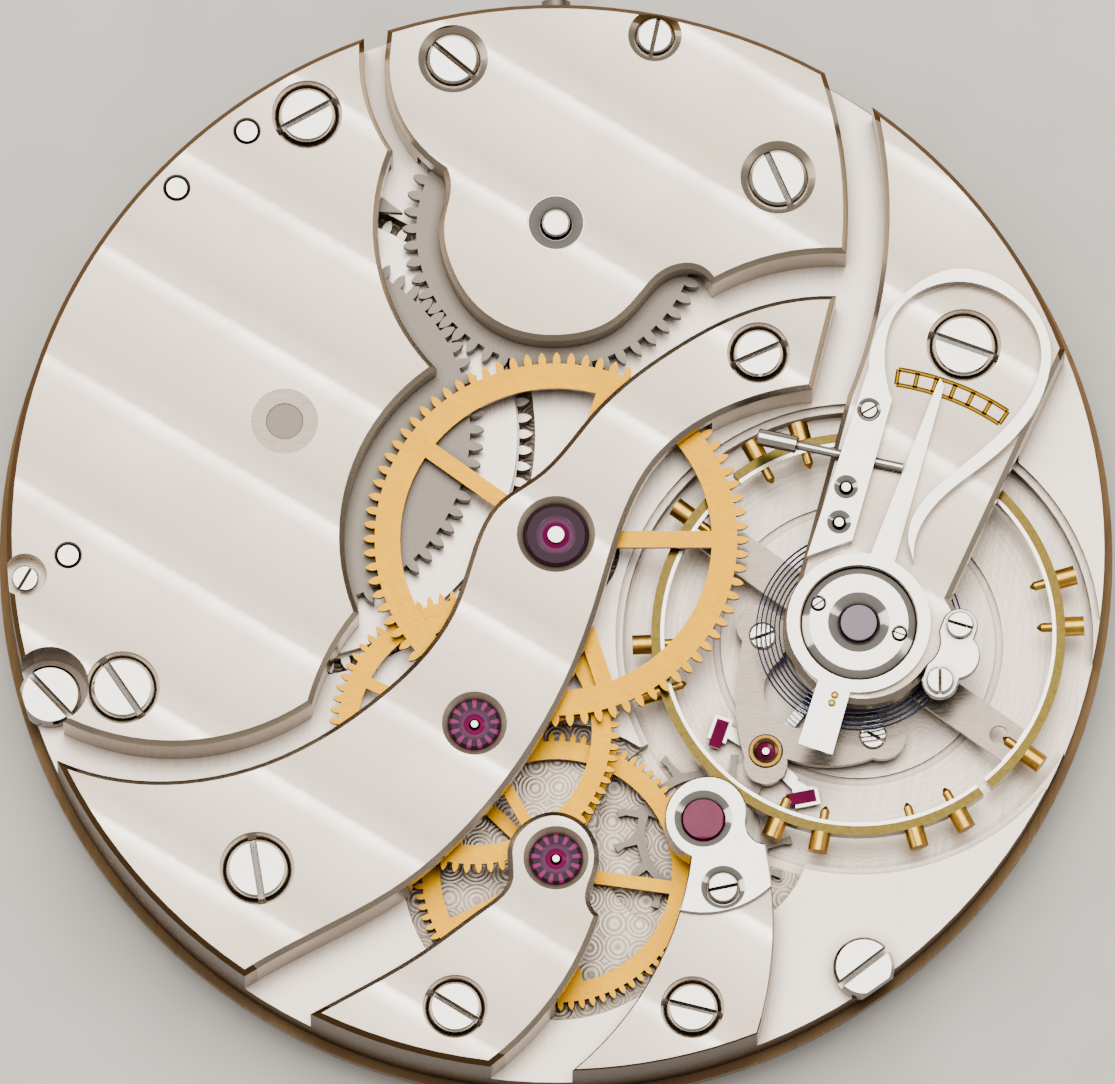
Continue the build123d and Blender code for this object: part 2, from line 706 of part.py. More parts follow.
with BuildPart() as balance_cock:
    extrude(outline(balance_cock_start_pixels, balance_cock_pixels, cock_top, plate_top),
            amount=cock_top - plate_top)
    turn(centre, plate_top - overrun, cock_top + overrun, cock_rim, Mode.INTERSECT)
    chamfer(balance_cock.faces().sort_by(Axis.Z)[-1].outer_wire().edges(), bridge_bevel)
    turn(balance, plate_top - overrun, cock_low, balance_step, Mode.SUBTRACT)
    turn(balance, plate_top, cock_top + overrun, balance_jewel, Mode.SUBTRACT)
    bridge_seats("balance_cock", cock_top, plate_top)
    turn(carrier_screw_place, cock_low - overrun, cock_top + overrun,
         small_screw_shank + running_clearance, Mode.SUBTRACT)
    turn(neck_screw_place, cock_low - overrun, cock_top + overrun,
         neck_screw_shank + running_clearance, Mode.SUBTRACT)
    for place in balance_screw_places:
        turn(place, cock_low - overrun, cock_top + overrun, cap_post_shank + running_clearance,
             Mode.SUBTRACT)
    for place in neck_pin_places:
        turn(place, cock_low, cock_top + overrun, neck_pin_radius, Mode.SUBTRACT)
finish(balance_cock, "balance_cock")

# Pallet bridge, low under the balance, with two feet on the plate
pallet_bridge_low = 1.24
pallet_screw_top = 1.66
pallet_screw_head_height = 0.25
pallet_bridge_start_pixels = (742, 640)
pallet_bridge_pixels = [
    [(741, 612), (764, 606)],
    [(784, 625), (779, 660)],
    [(766, 705), (800, 728)],
    [(850, 712), (896, 716)],
    [(903, 744), (872, 757)],
    [(825, 765), (786, 758)],
    [(765, 783), (744, 757)],
    [(735, 700), (739, 660)],
]
pallet_foot = 0.62

with BuildPart() as pallet_bridge:
    extrude(outline(pallet_bridge_start_pixels, pallet_bridge_pixels, pallet_bridge_top,
                    pallet_bridge_low), amount=pallet_bridge_top - pallet_bridge_low)
    for place, slot_angle in pallet_screw_places_pixels:
        turn(spot(place, pallet_bridge_top), balance_floor, pallet_bridge_low, pallet_foot)
        turn(spot(place, pallet_bridge_top), balance_floor - overrun, pallet_bridge_top + overrun,
             small_screw_shank + running_clearance, Mode.SUBTRACT)
        turn(spot(place, pallet_bridge_top), pallet_screw_top - pallet_screw_head_height,
             pallet_bridge_top + overrun, small_screw_head + small_screw_gap, Mode.SUBTRACT)
    turn(pallet, balance_floor, pallet_bridge_top + overrun, pallet_jewel_radius, Mode.SUBTRACT)
finish(pallet_bridge, "pallet_bridge")

# Upper and lower hole jewels of the train
upper_jewels = bridge_top - jewel_depth
lower_jewels = 0.3

with BuildPart() as train_jewels:
    jewel(centre, upper_jewels - jewel_thickness, upper_jewels, centre_jewel - press_gap,
          centre_pivot + running_clearance)
    jewel(third, upper_jewels - jewel_thickness, upper_jewels, train_jewel - press_gap,
          pivot + running_clearance)
    jewel(fourth, upper_jewels - jewel_thickness, upper_jewels, train_jewel - press_gap,
          pivot + running_clearance)
    jewel(centre, motion_ceiling, motion_ceiling + lower_jewel_thickness,
          lower_jewel - press_gap, centre_arbor + running_clearance)
    jewel(third, lower_jewels, lower_jewels + jewel_thickness, lower_jewel - press_gap,
          pivot + running_clearance)
    jewel(fourth, lower_jewels, lower_jewels + jewel_thickness, lower_jewel - press_gap,
          fourth_lower_pivot + running_clearance)
finish(train_jewels, "train_jewels")

with BuildPart() as escapement_jewels:
    jewel(escape, escape_head_low, escape_head_low + jewel_thickness, escape_jewel - press_gap,
          pivot + running_clearance)
    jewel(escape, lower_jewels, lower_jewels + lower_jewel_thickness, escape_jewel - press_gap,
          pivot + running_clearance)
    jewel(pallet, pallet_bridge_low, pallet_bridge_top, pallet_jewel_radius - press_gap,
          pivot + running_clearance)
    jewel(pallet, lower_jewels, lower_jewels + lower_jewel_thickness, escape_jewel - press_gap,
          pivot + running_clearance)
    jewel(balance, cock_low, cock_low + jewel_thickness, balance_jewel - press_gap,
          balance_pivot + running_clearance)
    jewel(balance, lower_jewels, lower_jewels + lower_jewel_thickness, escape_jewel - press_gap,
          balance_pivot + running_clearance)
    # Cap jewels over the ends of the escape and balance pivots
    turn(escape, escape_head_low + jewel_thickness + running_clearance,
         escape_cap_top - jewel_depth / 2, escape_jewel - press_gap)
    turn(balance, cock_low + jewel_thickness + running_clearance,
         balance_cap_top - jewel_depth / 2, balance_jewel - press_gap)
    turn(balance, cap_jewel_low, lower_jewels - running_clearance, escape_jewel - press_gap)
    turn(escape, cap_jewel_low, lower_jewels - running_clearance, escape_jewel - press_gap)
finish(escapement_jewels, "escapement_jewels")

# Phases: each pair of wheels is in mesh at rest
centre_leaf_phase = mesh_phase(barrel, barrel_direction, barrel_teeth, centre, centre_leaves)
centre_phase = third_direction
third_leaf_phase = mesh_phase(centre, centre_phase, centre_teeth, third, third_leaves)
third_phase = fourth_direction
fourth_leaf_phase = mesh_phase(third, third_phase, third_teeth, fourth, fourth_leaves)
fourth_phase = escape_direction
escape_leaf_phase = mesh_phase(fourth, fourth_phase, fourth_teeth, escape, escape_leaves)
crown_direction = bearing(barrel, crown)
ratchet_phase = crown_direction
crown_phase = mesh_phase(barrel, ratchet_phase, ratchet_teeth, crown, crown_teeth)
cannon_phase = minute_direction
minute_phase = mesh_phase(centre, cannon_phase, cannon_leaves, minute, minute_teeth)
minute_leaf_phase = minute_direction
hour_phase = mesh_phase(minute, minute_leaf_phase, minute_leaves, centre, hour_teeth)
idler_phase = mesh_phase(minute, minute_phase, minute_teeth, idler, idler_teeth)
setting_phase = mesh_phase(idler, idler_phase, idler_teeth, setting, setting_teeth)


def wheel(axis, low, thickness, teeth, module, phase, rim, hub, spokes, width, start, bore):
    """A spoked train wheel, cut from sheet and bored for its arbor."""
    extrude(toothed_face(level(axis, low), teeth, module, phase), amount=thickness)
    extrude(windows(axis, low, rim, hub, spokes, width, start), amount=thickness,
            mode=Mode.SUBTRACT)
    turn(axis, low - overrun, low + thickness + overrun, bore, Mode.SUBTRACT)


def staff(axis, low, high, radius, pivot_low, pivot_high, pivot_radius):
    """An arbor with a thin pivot at each end."""
    turn(axis, low, high, radius)
    turn(axis, pivot_low, pivot_high, pivot_radius)


# Barrel with its cover, mainspring and arbor
mainspring_inner = 1.44
mainspring_turns = 10
mainspring_thickness = 0.17
mainspring_step = 0.306
mainspring_margin = 0.04
barrel_journal = 0.9

with BuildPart() as barrel_drum_wheel:
    extrude(toothed_face(level(barrel, barrel_ring_low), barrel_teeth, barrel_module,
                         barrel_direction + 180),
            amount=barrel_ring_high - barrel_ring_low)
    turn(barrel, barrel_low, barrel_high, barrel_drum)
    turn(barrel, barrel_low + barrel_base, barrel_high + overrun, barrel_drum - barrel_wall,
         Mode.SUBTRACT)
    turn(barrel, barrel_low - overrun, barrel_high, barrel_journal + running_clearance,
         Mode.SUBTRACT)
finish(barrel_drum_wheel, "barrel_drum")

with BuildPart() as barrel_cover:
    turn(barrel, barrel_high - barrel_cover_thickness, barrel_high,
         barrel_drum - barrel_wall - press_gap)
    turn(barrel, barrel_low, barrel_high + overrun, barrel_journal + running_clearance,
         Mode.SUBTRACT)
finish(barrel_cover, "barrel_cover")


def spiral_band(axis, height, inner, step, half_turns, thickness):
    """A flat spiral strip of half-turn arcs whose centres change sides."""
    with BuildSketch(level(axis, height)) as face:
        with BuildLine():
            for side in (-1, 1):
                radius = inner
                offset_x = 0
                for half_turn in range(half_turns):
                    way = 1 if half_turn % 2 == 0 else -1
                    reach = radius + side * thickness / 2
                    start = (offset_x + way * reach, 0)
                    middle = (offset_x, way * reach)
                    end = (offset_x - way * reach, 0)
                    ThreePointArc(start, middle, end)
                    offset_x += way * step
                    radius += step
                if side == -1:
                    inner_start = (inner - thickness / 2, 0)
                    inner_end = end
                else:
                    Line(inner_start, (inner + thickness / 2, 0))
                    Line(inner_end, end)
        make_face()
    return face.sketch


spring_low = barrel_low + barrel_base + mainspring_margin
spring_high = barrel_high - barrel_cover_thickness - mainspring_margin

with BuildPart() as mainspring:
    extrude(spiral_band(barrel, spring_low, mainspring_inner, mainspring_step,
                        2 * mainspring_turns, mainspring_thickness),
            amount=spring_high - spring_low)
finish(mainspring, "mainspring")

barrel_arbor_foot = 0.1
arbor_top = bridge_top - edge_bevel / 2

with BuildPart() as barrel_arbor_piece:
    turn(barrel, barrel_arbor_foot, arbor_top, barrel_arbor)
    turn(barrel, barrel_low - mainspring_margin, winding_wheel_low, barrel_journal)
    turn(barrel, spring_low, spring_high, barrel_core)
    with Locations((barrel[0], barrel[1], winding_wheel_low)):
        Box(arbor_square, arbor_square, winding_wheel_high - winding_wheel_low, align=seated)
finish(barrel_arbor_piece, "barrel_arbor")

with BuildPart() as barrel_bush:
    turn(barrel, winding_wheel_high + air_gap, bridge_top - running_clearance,
         bush_radius - press_gap)
    turn(barrel, winding_wheel_low, bridge_top + overrun, barrel_arbor + running_clearance,
         Mode.SUBTRACT)
finish(barrel_bush, "barrel_bush")

winding_wheel_thickness = winding_wheel_high - winding_wheel_low

with BuildPart() as ratchet_wheel:
    extrude(toothed_face(level(barrel, winding_wheel_low), ratchet_teeth, winding_module,
                         ratchet_phase), amount=winding_wheel_thickness)
    with Locations((barrel[0], barrel[1], winding_wheel_low - overrun)):
        Box(arbor_square + 2 * press_gap, arbor_square + 2 * press_gap,
            winding_wheel_thickness + 2 * overrun, align=seated, mode=Mode.SUBTRACT)
finish(ratchet_wheel, "ratchet_wheel")

# Crown wheel, with face teeth under it for the winding pinion
crown_bore = 1.3
face_tooth_low = 1.86
face_tooth_inner = 4.05
face_tooth_length = 0.5
face_tooth_width = 0.2
crown_stud_post = crown_bore - running_clearance
crown_stud_flange = 1.7
crown_stud_low = 1.88
crown_stud_flange_height = 0.15
crown_stud_hub = 0.48
crown_sink_depth = 0.2

with BuildPart() as crown_wheel:
    extrude(toothed_face(level(crown, winding_wheel_low), crown_teeth, winding_module,
                         crown_phase), amount=winding_wheel_thickness)
    with Locations((crown[0], crown[1], face_tooth_low)):
        with PolarLocations(face_tooth_inner, crown_teeth, start_angle=90 + 180 / crown_teeth):
            Box(face_tooth_length, face_tooth_width, winding_wheel_low - face_tooth_low,
                align=(Align.MIN, Align.CENTER, Align.MIN))
    turn(crown, face_tooth_low - overrun, winding_wheel_high + overrun, crown_bore, Mode.SUBTRACT)
finish(crown_wheel, "crown_wheel")

with BuildPart() as crown_stud:
    turn(crown, crown_stud_low, crown_stud_low + crown_stud_flange_height, crown_stud_flange)
    turn(crown, crown_stud_low, winding_wheel_high + air_gap - press_gap, crown_stud_post)
    turn(crown, winding_wheel_high, bridge_top - running_clearance,
         crown_stud_radius - press_gap)
    cone(crown, bridge_top - crown_sink_depth, bridge_top, crown_stud_hub, crown_stud_radius,
         Mode.SUBTRACT)
    turn(crown, bridge_top - crown_sink_depth, bridge_top - running_clearance, crown_stud_hub)
    fillet(crown_stud.faces().sort_by(Axis.Z)[-1].edges(), edge_bevel)
finish(crown_stud, "crown_stud")

# Click and its spring, hung under the barrel bridge beside the crown wheel
click_low = 2.1
click_thickness = 0.34
click_hub = 0.62
click_screw_head = 0.45
click_screw_low = 2.0
click_gap = 0.03
crown_tip = winding_module * (crown_teeth / 2 + addendum_share)
click_direction = 173.0
click_tip = along(crown, crown_tip + click_gap, click_direction)
spring_inner = 1.3
spring_outer = 1.42
spring_start = 100.0
spring_sweep = 130.0

with BuildPart() as click:
    with BuildSketch(level(centre, click_low)):
        with BuildLine():
            square_way = bearing(click_post, click_tip) + 90
            Polyline(along(click_post, click_hub, square_way), click_tip,
                     along(click_post, -click_hub, square_way), close=True)
        make_face()
        with Locations(click_post):
            Circle(click_hub)
            Circle(click_shank + running_clearance, mode=Mode.SUBTRACT)
    extrude(amount=click_thickness)
finish(click, "click")

with BuildPart() as click_spring:
    with BuildSketch(level(click_post, click_low)):
        with BuildLine():
            CenterArc(centre, spring_inner, spring_start, spring_sweep)
            CenterArc(centre, spring_outer, spring_start, spring_sweep)
            Line(along(centre, spring_inner, spring_start),
                 along(centre, spring_outer, spring_start))
            Line(along(centre, spring_inner, spring_start + spring_sweep),
                 along(centre, spring_outer, spring_start + spring_sweep))
        make_face()
        with Locations(along(centre, spring_inner, spring_start)):
            Circle(click_shank)
    extrude(amount=winding_wheel_high + air_gap - click_low)
finish(click_spring, "click_spring")

# Going train, each wheel staked on its pinion
centre_rim = 5.36
centre_hub = 1.2
centre_spoke = 0.58
centre_spoke_start = 0.0
third_rim = 4.03
third_hub = 0.95
third_spoke = 0.4
third_spoke_start = 11.0
fourth_rim = 3.98
fourth_hub = 0.9
fourth_spoke = 0.45
fourth_spoke_start = -8.0
wheel_spokes = 5
arbor_top_low = bridge_roof - air_gap / 2

with BuildPart() as centre_wheel:
    wheel(centre, centre_wheel_low, train_wheel_thickness, centre_teeth, centre_module,
          centre_phase, centre_rim, centre_hub, wheel_spokes, centre_spoke, centre_spoke_start,
          centre_arbor + press_gap)
finish(centre_wheel, "centre_wheel")

with BuildPart() as centre_pinion:
    extrude(toothed_face(level(centre, centre_leaf_low), centre_leaves, barrel_module,
                         centre_leaf_phase, True), amount=centre_leaf_high - centre_leaf_low)
    turn(centre, centre_arbor_low, arbor_top_low, centre_arbor)
    turn(centre, centre_leaf_high, bridge_top - jewel_depth / 2, centre_pivot)
finish(centre_pinion, "centre_pinion")

with BuildPart() as third_wheel:
    wheel(third, third_wheel_low, train_wheel_thickness, third_teeth, third_module, third_phase,
          third_rim, third_hub, wheel_spokes, third_spoke, third_spoke_start,
          train_arbor + press_gap)
finish(third_wheel, "third_wheel")

with BuildPart() as third_pinion:
    extrude(toothed_face(level(third, third_leaf_low), third_leaves, centre_module,
                         third_leaf_phase, True), amount=third_leaf_high - third_leaf_low)
    staff(third, lower_jewels + jewel_thickness + air_gap, arbor_top_low, train_arbor,
          lower_jewels - air_gap, bridge_top - jewel_depth, pivot)
finish(third_pinion, "third_pinion")

with BuildPart() as fourth_wheel:
    wheel(fourth, fourth_wheel_low, train_wheel_thickness, fourth_teeth, fourth_module,
          fourth_phase, fourth_rim, fourth_hub, wheel_spokes, fourth_spoke, fourth_spoke_start,
          fourth_arbor + press_gap)
finish(fourth_wheel, "fourth_wheel")

with BuildPart() as fourth_pinion:
    extrude(toothed_face(level(fourth, fourth_leaf_low), fourth_leaves, third_module,
                         fourth_leaf_phase, True), amount=fourth_leaf_high - fourth_leaf_low)
    staff(fourth, lower_jewels + jewel_thickness + air_gap, arbor_top_low, fourth_arbor,
          seconds_shoulder, bridge_top - jewel_depth, pivot)
    turn(fourth, seconds_shoulder, lower_jewels + jewel_thickness + air_gap, fourth_lower_pivot)
    turn(fourth, -seconds_pivot_length, seconds_shoulder, seconds_pivot)
finish(fourth_pinion, "fourth_pinion")

# Escape wheel with club teeth, as shares of its radius and of its tooth pitch
club_tooth_shares = [(0.74, -0.20), (0.90, 0.02), (1.0, 0.05), (0.965, 0.28), (0.88, 0.17),
                     (0.74, 0.14)]
escape_rim = 2.0
escape_hub = 0.62
escape_spokes = 4
escape_spoke = 0.32
escape_arbor = 0.22
escape_tooth_lead = 12.0
escape_phase = pallet_direction + escape_tooth_lead

with BuildPart() as escape_wheel:
    with BuildSketch(level(escape, escape_wheel_low)):
        with BuildLine():
            points = []
            for tooth in range(escape_teeth):
                for radius_share, pitch_share in club_tooth_shares:
                    angle = escape_phase + (tooth + pitch_share) * 360 / escape_teeth
                    points.append(along(centre, radius_share * escape_radius, angle))
            Polyline(*points, close=True)
        make_face()
    extrude(amount=escape_wheel_thickness)
    extrude(windows(escape, escape_wheel_low, escape_rim, escape_hub, escape_spokes,
                    escape_spoke, escape_phase), amount=escape_wheel_thickness,
            mode=Mode.SUBTRACT)
    turn(escape, escape_wheel_low - overrun, escape_wheel_low + overrun,
         escape_arbor + press_gap, Mode.SUBTRACT)
finish(escape_wheel, "escape_wheel")

with BuildPart() as escape_pinion:
    extrude(toothed_face(level(escape, escape_leaf_low), escape_leaves, fourth_module,
                         escape_leaf_phase, True), amount=escape_leaf_high - escape_leaf_low)
    staff(escape, lower_jewels + lower_jewel_thickness + air_gap, escape_head_low - air_gap / 2,
          escape_arbor, lower_jewels, escape_head_low + jewel_thickness, pivot)
finish(escape_pinion, "escape_pinion")

# Pallet fork with its two stones, staff and notch
fork_low = escape_wheel_low
fork_thickness = 0.15
fork_hub = 0.5
fork_arm_width = 0.42
stone_width = 0.42
stone_length = 1.0
stone_thickness = 0.2
stone_gap = 0.03
stone_lean = 12.0
holder_wall = 0.12
holder_length = 0.75
lever_reach = 4.05
lever_width = 0.36
horn_width = 0.9
horn_length = 0.5
notch_width = 0.36
notch_length = 0.3
stone_tips = [along(escape, escape_radius + stone_gap, pallet_direction + side * pallet_angle)
              for side in (1, -1)]
stone_angles = [pallet_direction + side * pallet_angle - stone_lean for side in (1, -1)]
fork_angle = bearing(pallet, balance)

with BuildPart() as pallet_fork:
    with BuildSketch(level(centre, fork_low)) as fork_face:
        with Locations(pallet):
            Circle(fork_hub)
        for tip, angle in zip(stone_tips, stone_angles):
            middle = along(tip, holder_length, angle)
            with BuildLine():
                Polyline(along(pallet, fork_arm_width / 2, bearing(pallet, middle) + 90),
                         along(middle, fork_arm_width / 2, bearing(pallet, middle) + 90),
                         along(middle, fork_arm_width / 2, bearing(pallet, middle) - 90),
                         along(pallet, fork_arm_width / 2, bearing(pallet, middle) - 90),
                         close=True)
            make_face()
            with Locations(Location((*along(tip, stone_length - holder_length, angle), 0),
                                    (0, 0, angle))):
                Rectangle(holder_length + holder_wall, stone_width + 2 * holder_wall,
                          align=(Align.MIN, Align.CENTER))
        with Locations(Location((*pallet, 0), (0, 0, fork_angle))):
            Rectangle(lever_reach, lever_width, align=(Align.MIN, Align.CENTER))
        with Locations(Location((*along(pallet, lever_reach, fork_angle), 0),
                                (0, 0, fork_angle))):
            Rectangle(horn_length, horn_width, align=(Align.MAX, Align.CENTER))
            Rectangle(notch_length, notch_width, align=(Align.MAX, Align.CENTER),
                      mode=Mode.SUBTRACT)
        for tip, angle in zip(stone_tips, stone_angles):
            with Locations(Location((*tip, 0), (0, 0, angle))):
                Rectangle(stone_length, stone_width + 2 * press_gap,
                          align=(Align.MIN, Align.CENTER), mode=Mode.SUBTRACT)
        with Locations(pallet):
            Circle(escape_arbor + press_gap, mode=Mode.SUBTRACT)
    extrude(amount=fork_thickness)
finish(pallet_fork, "pallet_fork")

with BuildPart() as pallet_stones:
    with BuildSketch(level(centre, fork_low - air_gap / 4)):
        for tip, angle in zip(stone_tips, stone_angles):
            with Locations(Location((*tip, 0), (0, 0, angle))):
                Rectangle(stone_length - press_gap, stone_width,
                          align=(Align.MIN, Align.CENTER))
    extrude(amount=stone_thickness)
finish(pallet_stones, "pallet_stones")

with BuildPart() as pallet_staff:
    staff(pallet, lower_jewels + lower_jewel_thickness + air_gap,
          pallet_bridge_low - running_clearance, escape_arbor, lower_jewels - air_gap,
          pallet_bridge_top, pivot)
finish(pallet_staff, "pallet_staff")

# Winding stem along +Y with the winding and the sliding pinion
pinion_module = 0.165
pinion_inner = 15.1
pinion_outer = 16.0
dog_length = 0.15
dogs = 6
dog_ring = 0.6
dog_depth = 0.3
dog_width = 0.2
clutch_hub = 0.8
clutch_low = 13.05
groove_low = 13.895
groove_high = 14.245
clutch_groove = 0.55
setting_teeth_low = 12.9
setting_tooth_count = 10
stem_square = 0.74
stem_square_low = 11.2
stem_square_high = 15.05
stem_body = 0.5
stem_tail = 0.3
stem_tail_end = 9.6
stem_thread = 0.34
stem_thread_start = 19.6
stem_end = 22.6
stem_groove = 0.33
stem_groove_width = 0.5


def across(distance):
    """The plane across the stem at a distance from the centre, facing outward."""
    return Plane((0, distance, stem_height), x_dir=(0, 0, 1), z_dir=(0, 1, 0))


def round_bar(start, end, radius, mode=Mode.ADD):
    """A turned length on the axis of the stem."""
    with BuildSketch(across(start)) as face:
        Circle(radius)
    extrude(face.sketch, amount=end - start, mode=mode)


def dog_teeth(start, end, count, start_angle):
    """A ring of dog teeth on the axis of the stem."""
    with BuildSketch(across(start)) as face:
        with PolarLocations(dog_ring, count, start_angle=start_angle):
            Rectangle(dog_depth, dog_width)
    extrude(face.sketch, amount=end - start)


with BuildPart() as winding_pinion:
    extrude(toothed_face(across(pinion_inner), winding_leaves, pinion_module, 0, True),
            amount=pinion_outer - pinion_inner)
    dog_teeth(pinion_inner - dog_length, pinion_inner, dogs, 0)
    round_bar(pinion_inner - overrun, pinion_outer + overrun, stem_bore, Mode.SUBTRACT)
finish(winding_pinion, "winding_pinion")

with BuildPart() as sliding_pinion:
    round_bar(clutch_low, pinion_inner - dog_length - press_gap, clutch_hub)
    dog_teeth(pinion_inner - dog_length - press_gap, pinion_inner - running_clearance, dogs,
              180 / dogs)
    dog_teeth(setting_teeth_low, clutch_low, setting_tooth_count, 0)
    with BuildSketch(across(groove_low)) as ring:
        Circle(clutch_hub + overrun)
        Circle(clutch_groove, mode=Mode.SUBTRACT)
    extrude(ring.sketch, amount=groove_high - groove_low, mode=Mode.SUBTRACT)
    with BuildSketch(across(clutch_inner)) as square:
        Rectangle(stem_square + 2 * running_clearance, stem_square + 2 * running_clearance)
    extrude(square.sketch, amount=clutch_outer - clutch_inner, mode=Mode.SUBTRACT)
finish(sliding_pinion, "sliding_pinion")

with BuildPart() as winding_stem:
    round_bar(stem_tail_end, stem_square_low, stem_tail)
    with BuildSketch(across(stem_square_low)) as square:
        Rectangle(stem_square, stem_square)
    extrude(square.sketch, amount=stem_square_high - stem_square_low)
    round_bar(stem_square_high, stem_thread_start, stem_body)
    round_bar(stem_thread_start, stem_end, stem_thread)
    chamfer(winding_stem.faces().sort_by(Axis.Y)[-1].edges(), edge_bevel)
    with BuildSketch(across(lever_post[1] - stem_groove_width / 2)) as ring:
        Circle(stem_body + overrun)
        Circle(stem_groove, mode=Mode.SUBTRACT)
    extrude(ring.sketch, amount=stem_groove_width, mode=Mode.SUBTRACT)
finish(winding_stem, "winding_stem")

# Setting lever and yoke, on posts in the dial side of the plate
lever_low = 0.1
lever_thickness = 0.18
lever_hub = 0.6
lever_arm_width = 0.5
lever_pin = 0.18
lever_pin_top = 0.64
yoke_thickness = 0.12
yoke_finger = (0.3, 0.24)
yoke_finger_top = 0.4
post_head = 0.45
post_head_low = 0.03


def arm(start, end, width, hub, end_radius):
    """A flat arm from a hub to a rounded end."""
    with Locations(start):
        Circle(hub)
    with Locations(end):
        Circle(end_radius)
    with Locations(Location((*start, 0), (0, 0, bearing(start, end)))):
        Rectangle(apart(start, end), width, align=(Align.MIN, Align.CENTER))
    with Locations(start):
        Circle(lever_post_radius + running_clearance, mode=Mode.SUBTRACT)


with BuildPart() as setting_lever:
    with BuildSketch(level(centre, lever_low)):
        arm(lever_post, (0, lever_post[1]), lever_arm_width, lever_hub, lever_arm_width / 2)
    extrude(amount=lever_thickness)
    turn((0, lever_post[1]), lever_low, lever_pin_top, lever_pin)
finish(setting_lever, "setting_lever")

with BuildPart() as yoke:
    with BuildSketch(level(centre, lever_low)):
        arm(yoke_post, (0, yoke_post[1]), lever_arm_width, lever_hub, lever_arm_width / 2)
    extrude(amount=yoke_thickness)
    with Locations((0, yoke_post[1], lever_low)):
        Box(yoke_finger[0], yoke_finger[1], yoke_finger_top - lever_low, align=seated)
finish(yoke, "yoke")

# Motion work under the plate: cannon pinion, hour wheel, minute wheel and setting wheels
hour_low = 0.02
hour_high = 0.17
minute_low = 0.27
minute_high = 0.42
cannon_low = 0.22
cannon_high = 0.43
cannon_pipe = 0.7
cannon_end = -1.9
hand_seat = 0.54
hand_seat_top = -1.42
hour_pipe = 1.0
hour_end = -1.4
setting_low = 0.1

with BuildPart() as cannon_pinion:
    extrude(toothed_face(level(centre, cannon_low), cannon_leaves, motion_module, cannon_phase,
                         True), amount=cannon_high - cannon_low)
    turn(centre, cannon_end, hand_seat_top, hand_seat)
    turn(centre, hand_seat_top, cannon_low, cannon_pipe)
    turn(centre, cannon_end - overrun, cannon_high + overrun, centre_arbor + press_gap,
         Mode.SUBTRACT)
finish(cannon_pinion, "cannon_pinion")

with BuildPart() as hour_wheel:
    extrude(toothed_face(level(centre, hour_low), hour_teeth, motion_module, hour_phase),
            amount=hour_high - hour_low)
    turn(centre, hour_end, hour_low, hour_pipe)
    turn(centre, hour_end - overrun, hour_high + overrun, cannon_pipe + running_clearance,
         Mode.SUBTRACT)
finish(hour_wheel, "hour_wheel")

with BuildPart() as minute_wheel:
    extrude(toothed_face(level(minute, minute_low), minute_teeth, motion_module, minute_phase),
            amount=minute_high - minute_low)
    extrude(toothed_face(level(minute, hour_low), minute_leaves, motion_module,
                         minute_leaf_phase, True), amount=minute_low - hour_low)
    turn(minute, -overrun, minute_high + overrun, motion_post + running_clearance, Mode.SUBTRACT)
finish(minute_wheel, "minute_wheel")

with BuildPart() as idler_wheel:
    extrude(toothed_face(level(idler, minute_low), idler_teeth, motion_module, idler_phase),
            amount=minute_high - minute_low)
    turn(idler, -overrun, minute_high + overrun, motion_post + running_clearance, Mode.SUBTRACT)
finish(idler_wheel, "idler_wheel")

with BuildPart() as setting_wheel:
    extrude(toothed_face(level(setting, setting_low), setting_teeth, motion_module,
                         setting_phase), amount=minute_high - setting_low)
    turn(setting, -overrun, minute_high + overrun, motion_post + running_clearance,
         Mode.SUBTRACT)
finish(setting_wheel, "setting_wheel")

# Balance: steel arm and inner ring, brass rim, both cut twice, with screws round the rim
balance_low = 1.75
balance_high = 2.3
rim_inner = 6.68
rim_joint = 6.81
rim_outer = 7.12
balance_arm_angle = -36.0
balance_arm_width = 1.35
balance_arm_thickness = 0.2
balance_hub = 1.0
arm_hole = 0.33
arm_hole_ring = 5.95
cut_angles = (-51.5, 128.5)
cut_width = 0.35
rim_screw_angles = (2.5, 16.0, -36.0, -61.5, -74.5, -100.5, -113.0)
rim_screw_head = 0.34
rim_screw_length = 0.65
rim_screw_shank = 0.16
rim_screw_inner = 6.3
rim_screw_tip = 0.16
balance_staff_radius = 0.35
balance_staff_low = 0.75
balance_staff_high = 2.8


def rim_cuts():
    """The two cuts through the rim of the balance."""
    for angle in cut_angles:
        with Locations(Location((*along(balance, rim_inner - overrun / 2, angle), balance_low),
                                (0, 0, angle))):
            Box(overrun * 4, cut_width, overrun * 4, align=(Align.MIN, Align.CENTER, Align.CENTER),
                mode=Mode.SUBTRACT)


def rim_bars(start, end, radius, end_radius, mode=Mode.ADD):
    """A turned length on the axis of every rim screw."""
    for side in (0, 180):
        for angle in rim_screw_angles:
            place = along(balance, (start + end) / 2, angle + side)
            way = radians(angle + side)
            with Locations(Plane((*place, (balance_low + balance_high) / 2),
                                 z_dir=(cos(way), sin(way), 0))):
                if radius == end_radius:
                    Cylinder(radius, end - start, mode=mode)
                else:
                    Cone(radius, end_radius, end - start, mode=mode)


